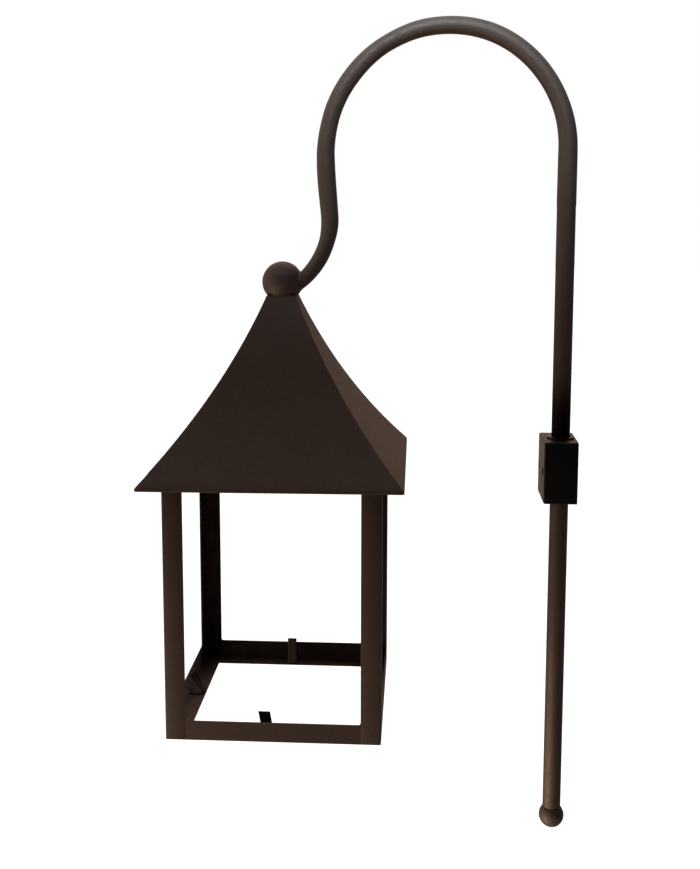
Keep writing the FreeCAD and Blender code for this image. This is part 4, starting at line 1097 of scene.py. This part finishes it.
def make_floor():
    """Wide pale floor well below the lantern. The camera sees it lit to near white."""
    bm = bmesh.new()
    bmesh.ops.create_grid(bm, x_segments=1, y_segments=1, size=FLOOR_REACH)
    mesh = bpy.data.meshes.new("floor")
    bm.to_mesh(mesh)
    bm.free()
    floor = bpy.data.objects.new("floor", mesh)
    floor.location = (0, 0, FLOOR_Z)
    bpy.context.scene.collection.objects.link(floor)
    graph = new_graph("pale_floor")
    tone = graph.blend(graph.clouds(1.5), colour(0.42, 0.42, 0.42), colour(0.46, 0.46, 0.455))
    matte = graph.node("BsdfDiffuse", {"Color": tone}).outputs[0]
    seen = graph.node("LightPath").outputs["Is Camera Ray"]
    glow = graph.node("Emission", {"Strength": graph.math("MULTIPLY", seen, FLOOR_GLOW)}).outputs[0]
    both = graph.node("AddShader", {0: matte, 1: glow}).outputs[0]
    graph.node("OutputMaterial", {"Surface": both})
    mesh.materials.append(graph.owner)


# Broad glows of the studio round the object: direction, sharpness and strength by colour.
GLOWS = (
    ((0, 0.7, 0.7), 5, (2.2, 1.5, 1.17)),
    ((-1, 0, 0.1), 4, (1.8, 1.65, 1.5)),
    ((0, 0, 1), 4, (0.75, 0.80, 0.90)),
)


def make_world():
    """Surroundings that light the object; the camera itself sees plain white."""
    world = bpy.data.worlds.new("studio")
    bpy.context.scene.world = world
    graph = Graph(world)
    direction = graph.coordinates["Generated"]
    glow = graph.node("CombineXYZ").outputs[0]
    for axis, sharpness, strength in GLOWS:
        facing = graph.dot(direction, Vector(axis).normalized())
        share = graph.math("POWER", graph.math("MAXIMUM", facing, 0.0), sharpness)
        lobe = graph.node("VectorMath", {0: strength, "Scale": share}, operation="SCALE").outputs[0]
        glow = graph.node("VectorMath", {0: glow, 1: lobe}, operation="ADD").outputs[0]
    around = graph.node("Background", {"Color": glow, "Strength": 1.0}).outputs[0]
    white = graph.node("Background", {"Color": colour(1, 1, 1), "Strength": 1.0}).outputs[0]
    seen = graph.node("LightPath").outputs["Is Camera Ray"]
    both = graph.node("MixShader", {0: seen, 1: around, 2: white}).outputs[0]
    graph.node("OutputWorld", {"Surface": both})


WARM = (1, 0.9, 0.8)


def soft_box(name, place, target, size, spread, power, tint):
    """A rectangular lamp. Its spread is in degrees and its power in watts."""
    light = bpy.data.lights.new(name, "AREA")
    light.shape = "RECTANGLE"
    light.size, light.size_y = size
    light.spread = math.radians(spread)
    light.energy = power
    light.color = tint
    holder = bpy.data.objects.new(name, light)
    holder.location = place
    holder.rotation_euler = (Vector(target) - Vector(place)).to_track_quat("-Z", "Y").to_euler()
    holder.visible_camera = False
    bpy.context.scene.collection.objects.link(holder)


def make_lights():
    """A big soft box low on the left, and small ones for the arch, bottom rail and foot ball."""
    soft_box("low_left", (-1.3, -0.5, -0.8), (-0.3, 0, -0.1), (0.6, 0.6), 180, 13.5, (1.0, 0.82, 0.65))
    top = Vector((POLE_X - ARCH_RADIUS, 0, JOINT_Z + NECK_LEAD + ARCH_RADIUS))
    place, target = top + Vector((-0.02, -0.5, 0.42)), top + Vector((0, 0, 0.05))
    soft_box("arch", place, target, (0.4, 0.25), 34, 1.25, (0.72, 1, 1.28))
    place, target = (AXIS_X - 0.1, -0.5, BASE_Z - 0.35), (AXIS_X, -FRAME_HALF, BASE_Z)
    soft_box("rail", place, target, (0.4, 0.15), 40, 0.02, WARM)
    place, target = (POLE_X - 0.3, -0.2, POLE_FOOT - 0.3), (POLE_X, 0, POLE_FOOT - 0.05)
    soft_box("foot", place, target, (0.25, 0.25), 60, 0.4, WARM)


# The camera, fitted to the lantern's straight edges: lens in millimetres, shift as a share of the
# frame's longer side, place in metres, and angles in degrees.
LENS = 47.767
LENS_SHIFT = (0.00117, -0.09612)
CAMERA_PLACE = (POLE_X - 0.14933, -1.18153, 0.27200)
CAMERA_YAW = 3.3849
CAMERA_DOWN = 7.3076
CAMERA_ROLL = 0.0868


def make_camera():
    """The photograph's view: a little right of square on and above, with a shifted lens."""
    camera = bpy.data.cameras.new("camera")
    camera.lens = LENS
    camera.sensor_width = 36
    camera.shift_x, camera.shift_y = LENS_SHIFT
    camera.clip_start = 0.05
    camera.clip_end = 100
    holder = bpy.data.objects.new("camera", camera)
    yaw = Matrix.Rotation(math.radians(CAMERA_YAW), 4, "Z")
    pitch = Matrix.Rotation(math.radians(90 - CAMERA_DOWN), 4, "X")
    roll = Matrix.Rotation(math.radians(CAMERA_ROLL), 4, "Z")
    holder.matrix_world = Matrix.Translation(CAMERA_PLACE) @ (yaw @ pitch @ roll)
    bpy.context.scene.collection.objects.link(holder)
    bpy.context.scene.camera = holder


finish_cad_nodes()
make_gooseneck()
make_pole()
make_foot_ball()
make_roof()
make_laminate_back()
make_cells()
make_frame()
make_welds()
make_tabs()
make_floor()
make_world()
make_lights()
make_camera()
bpy.context.scene.view_settings.view_transform = "Standard"
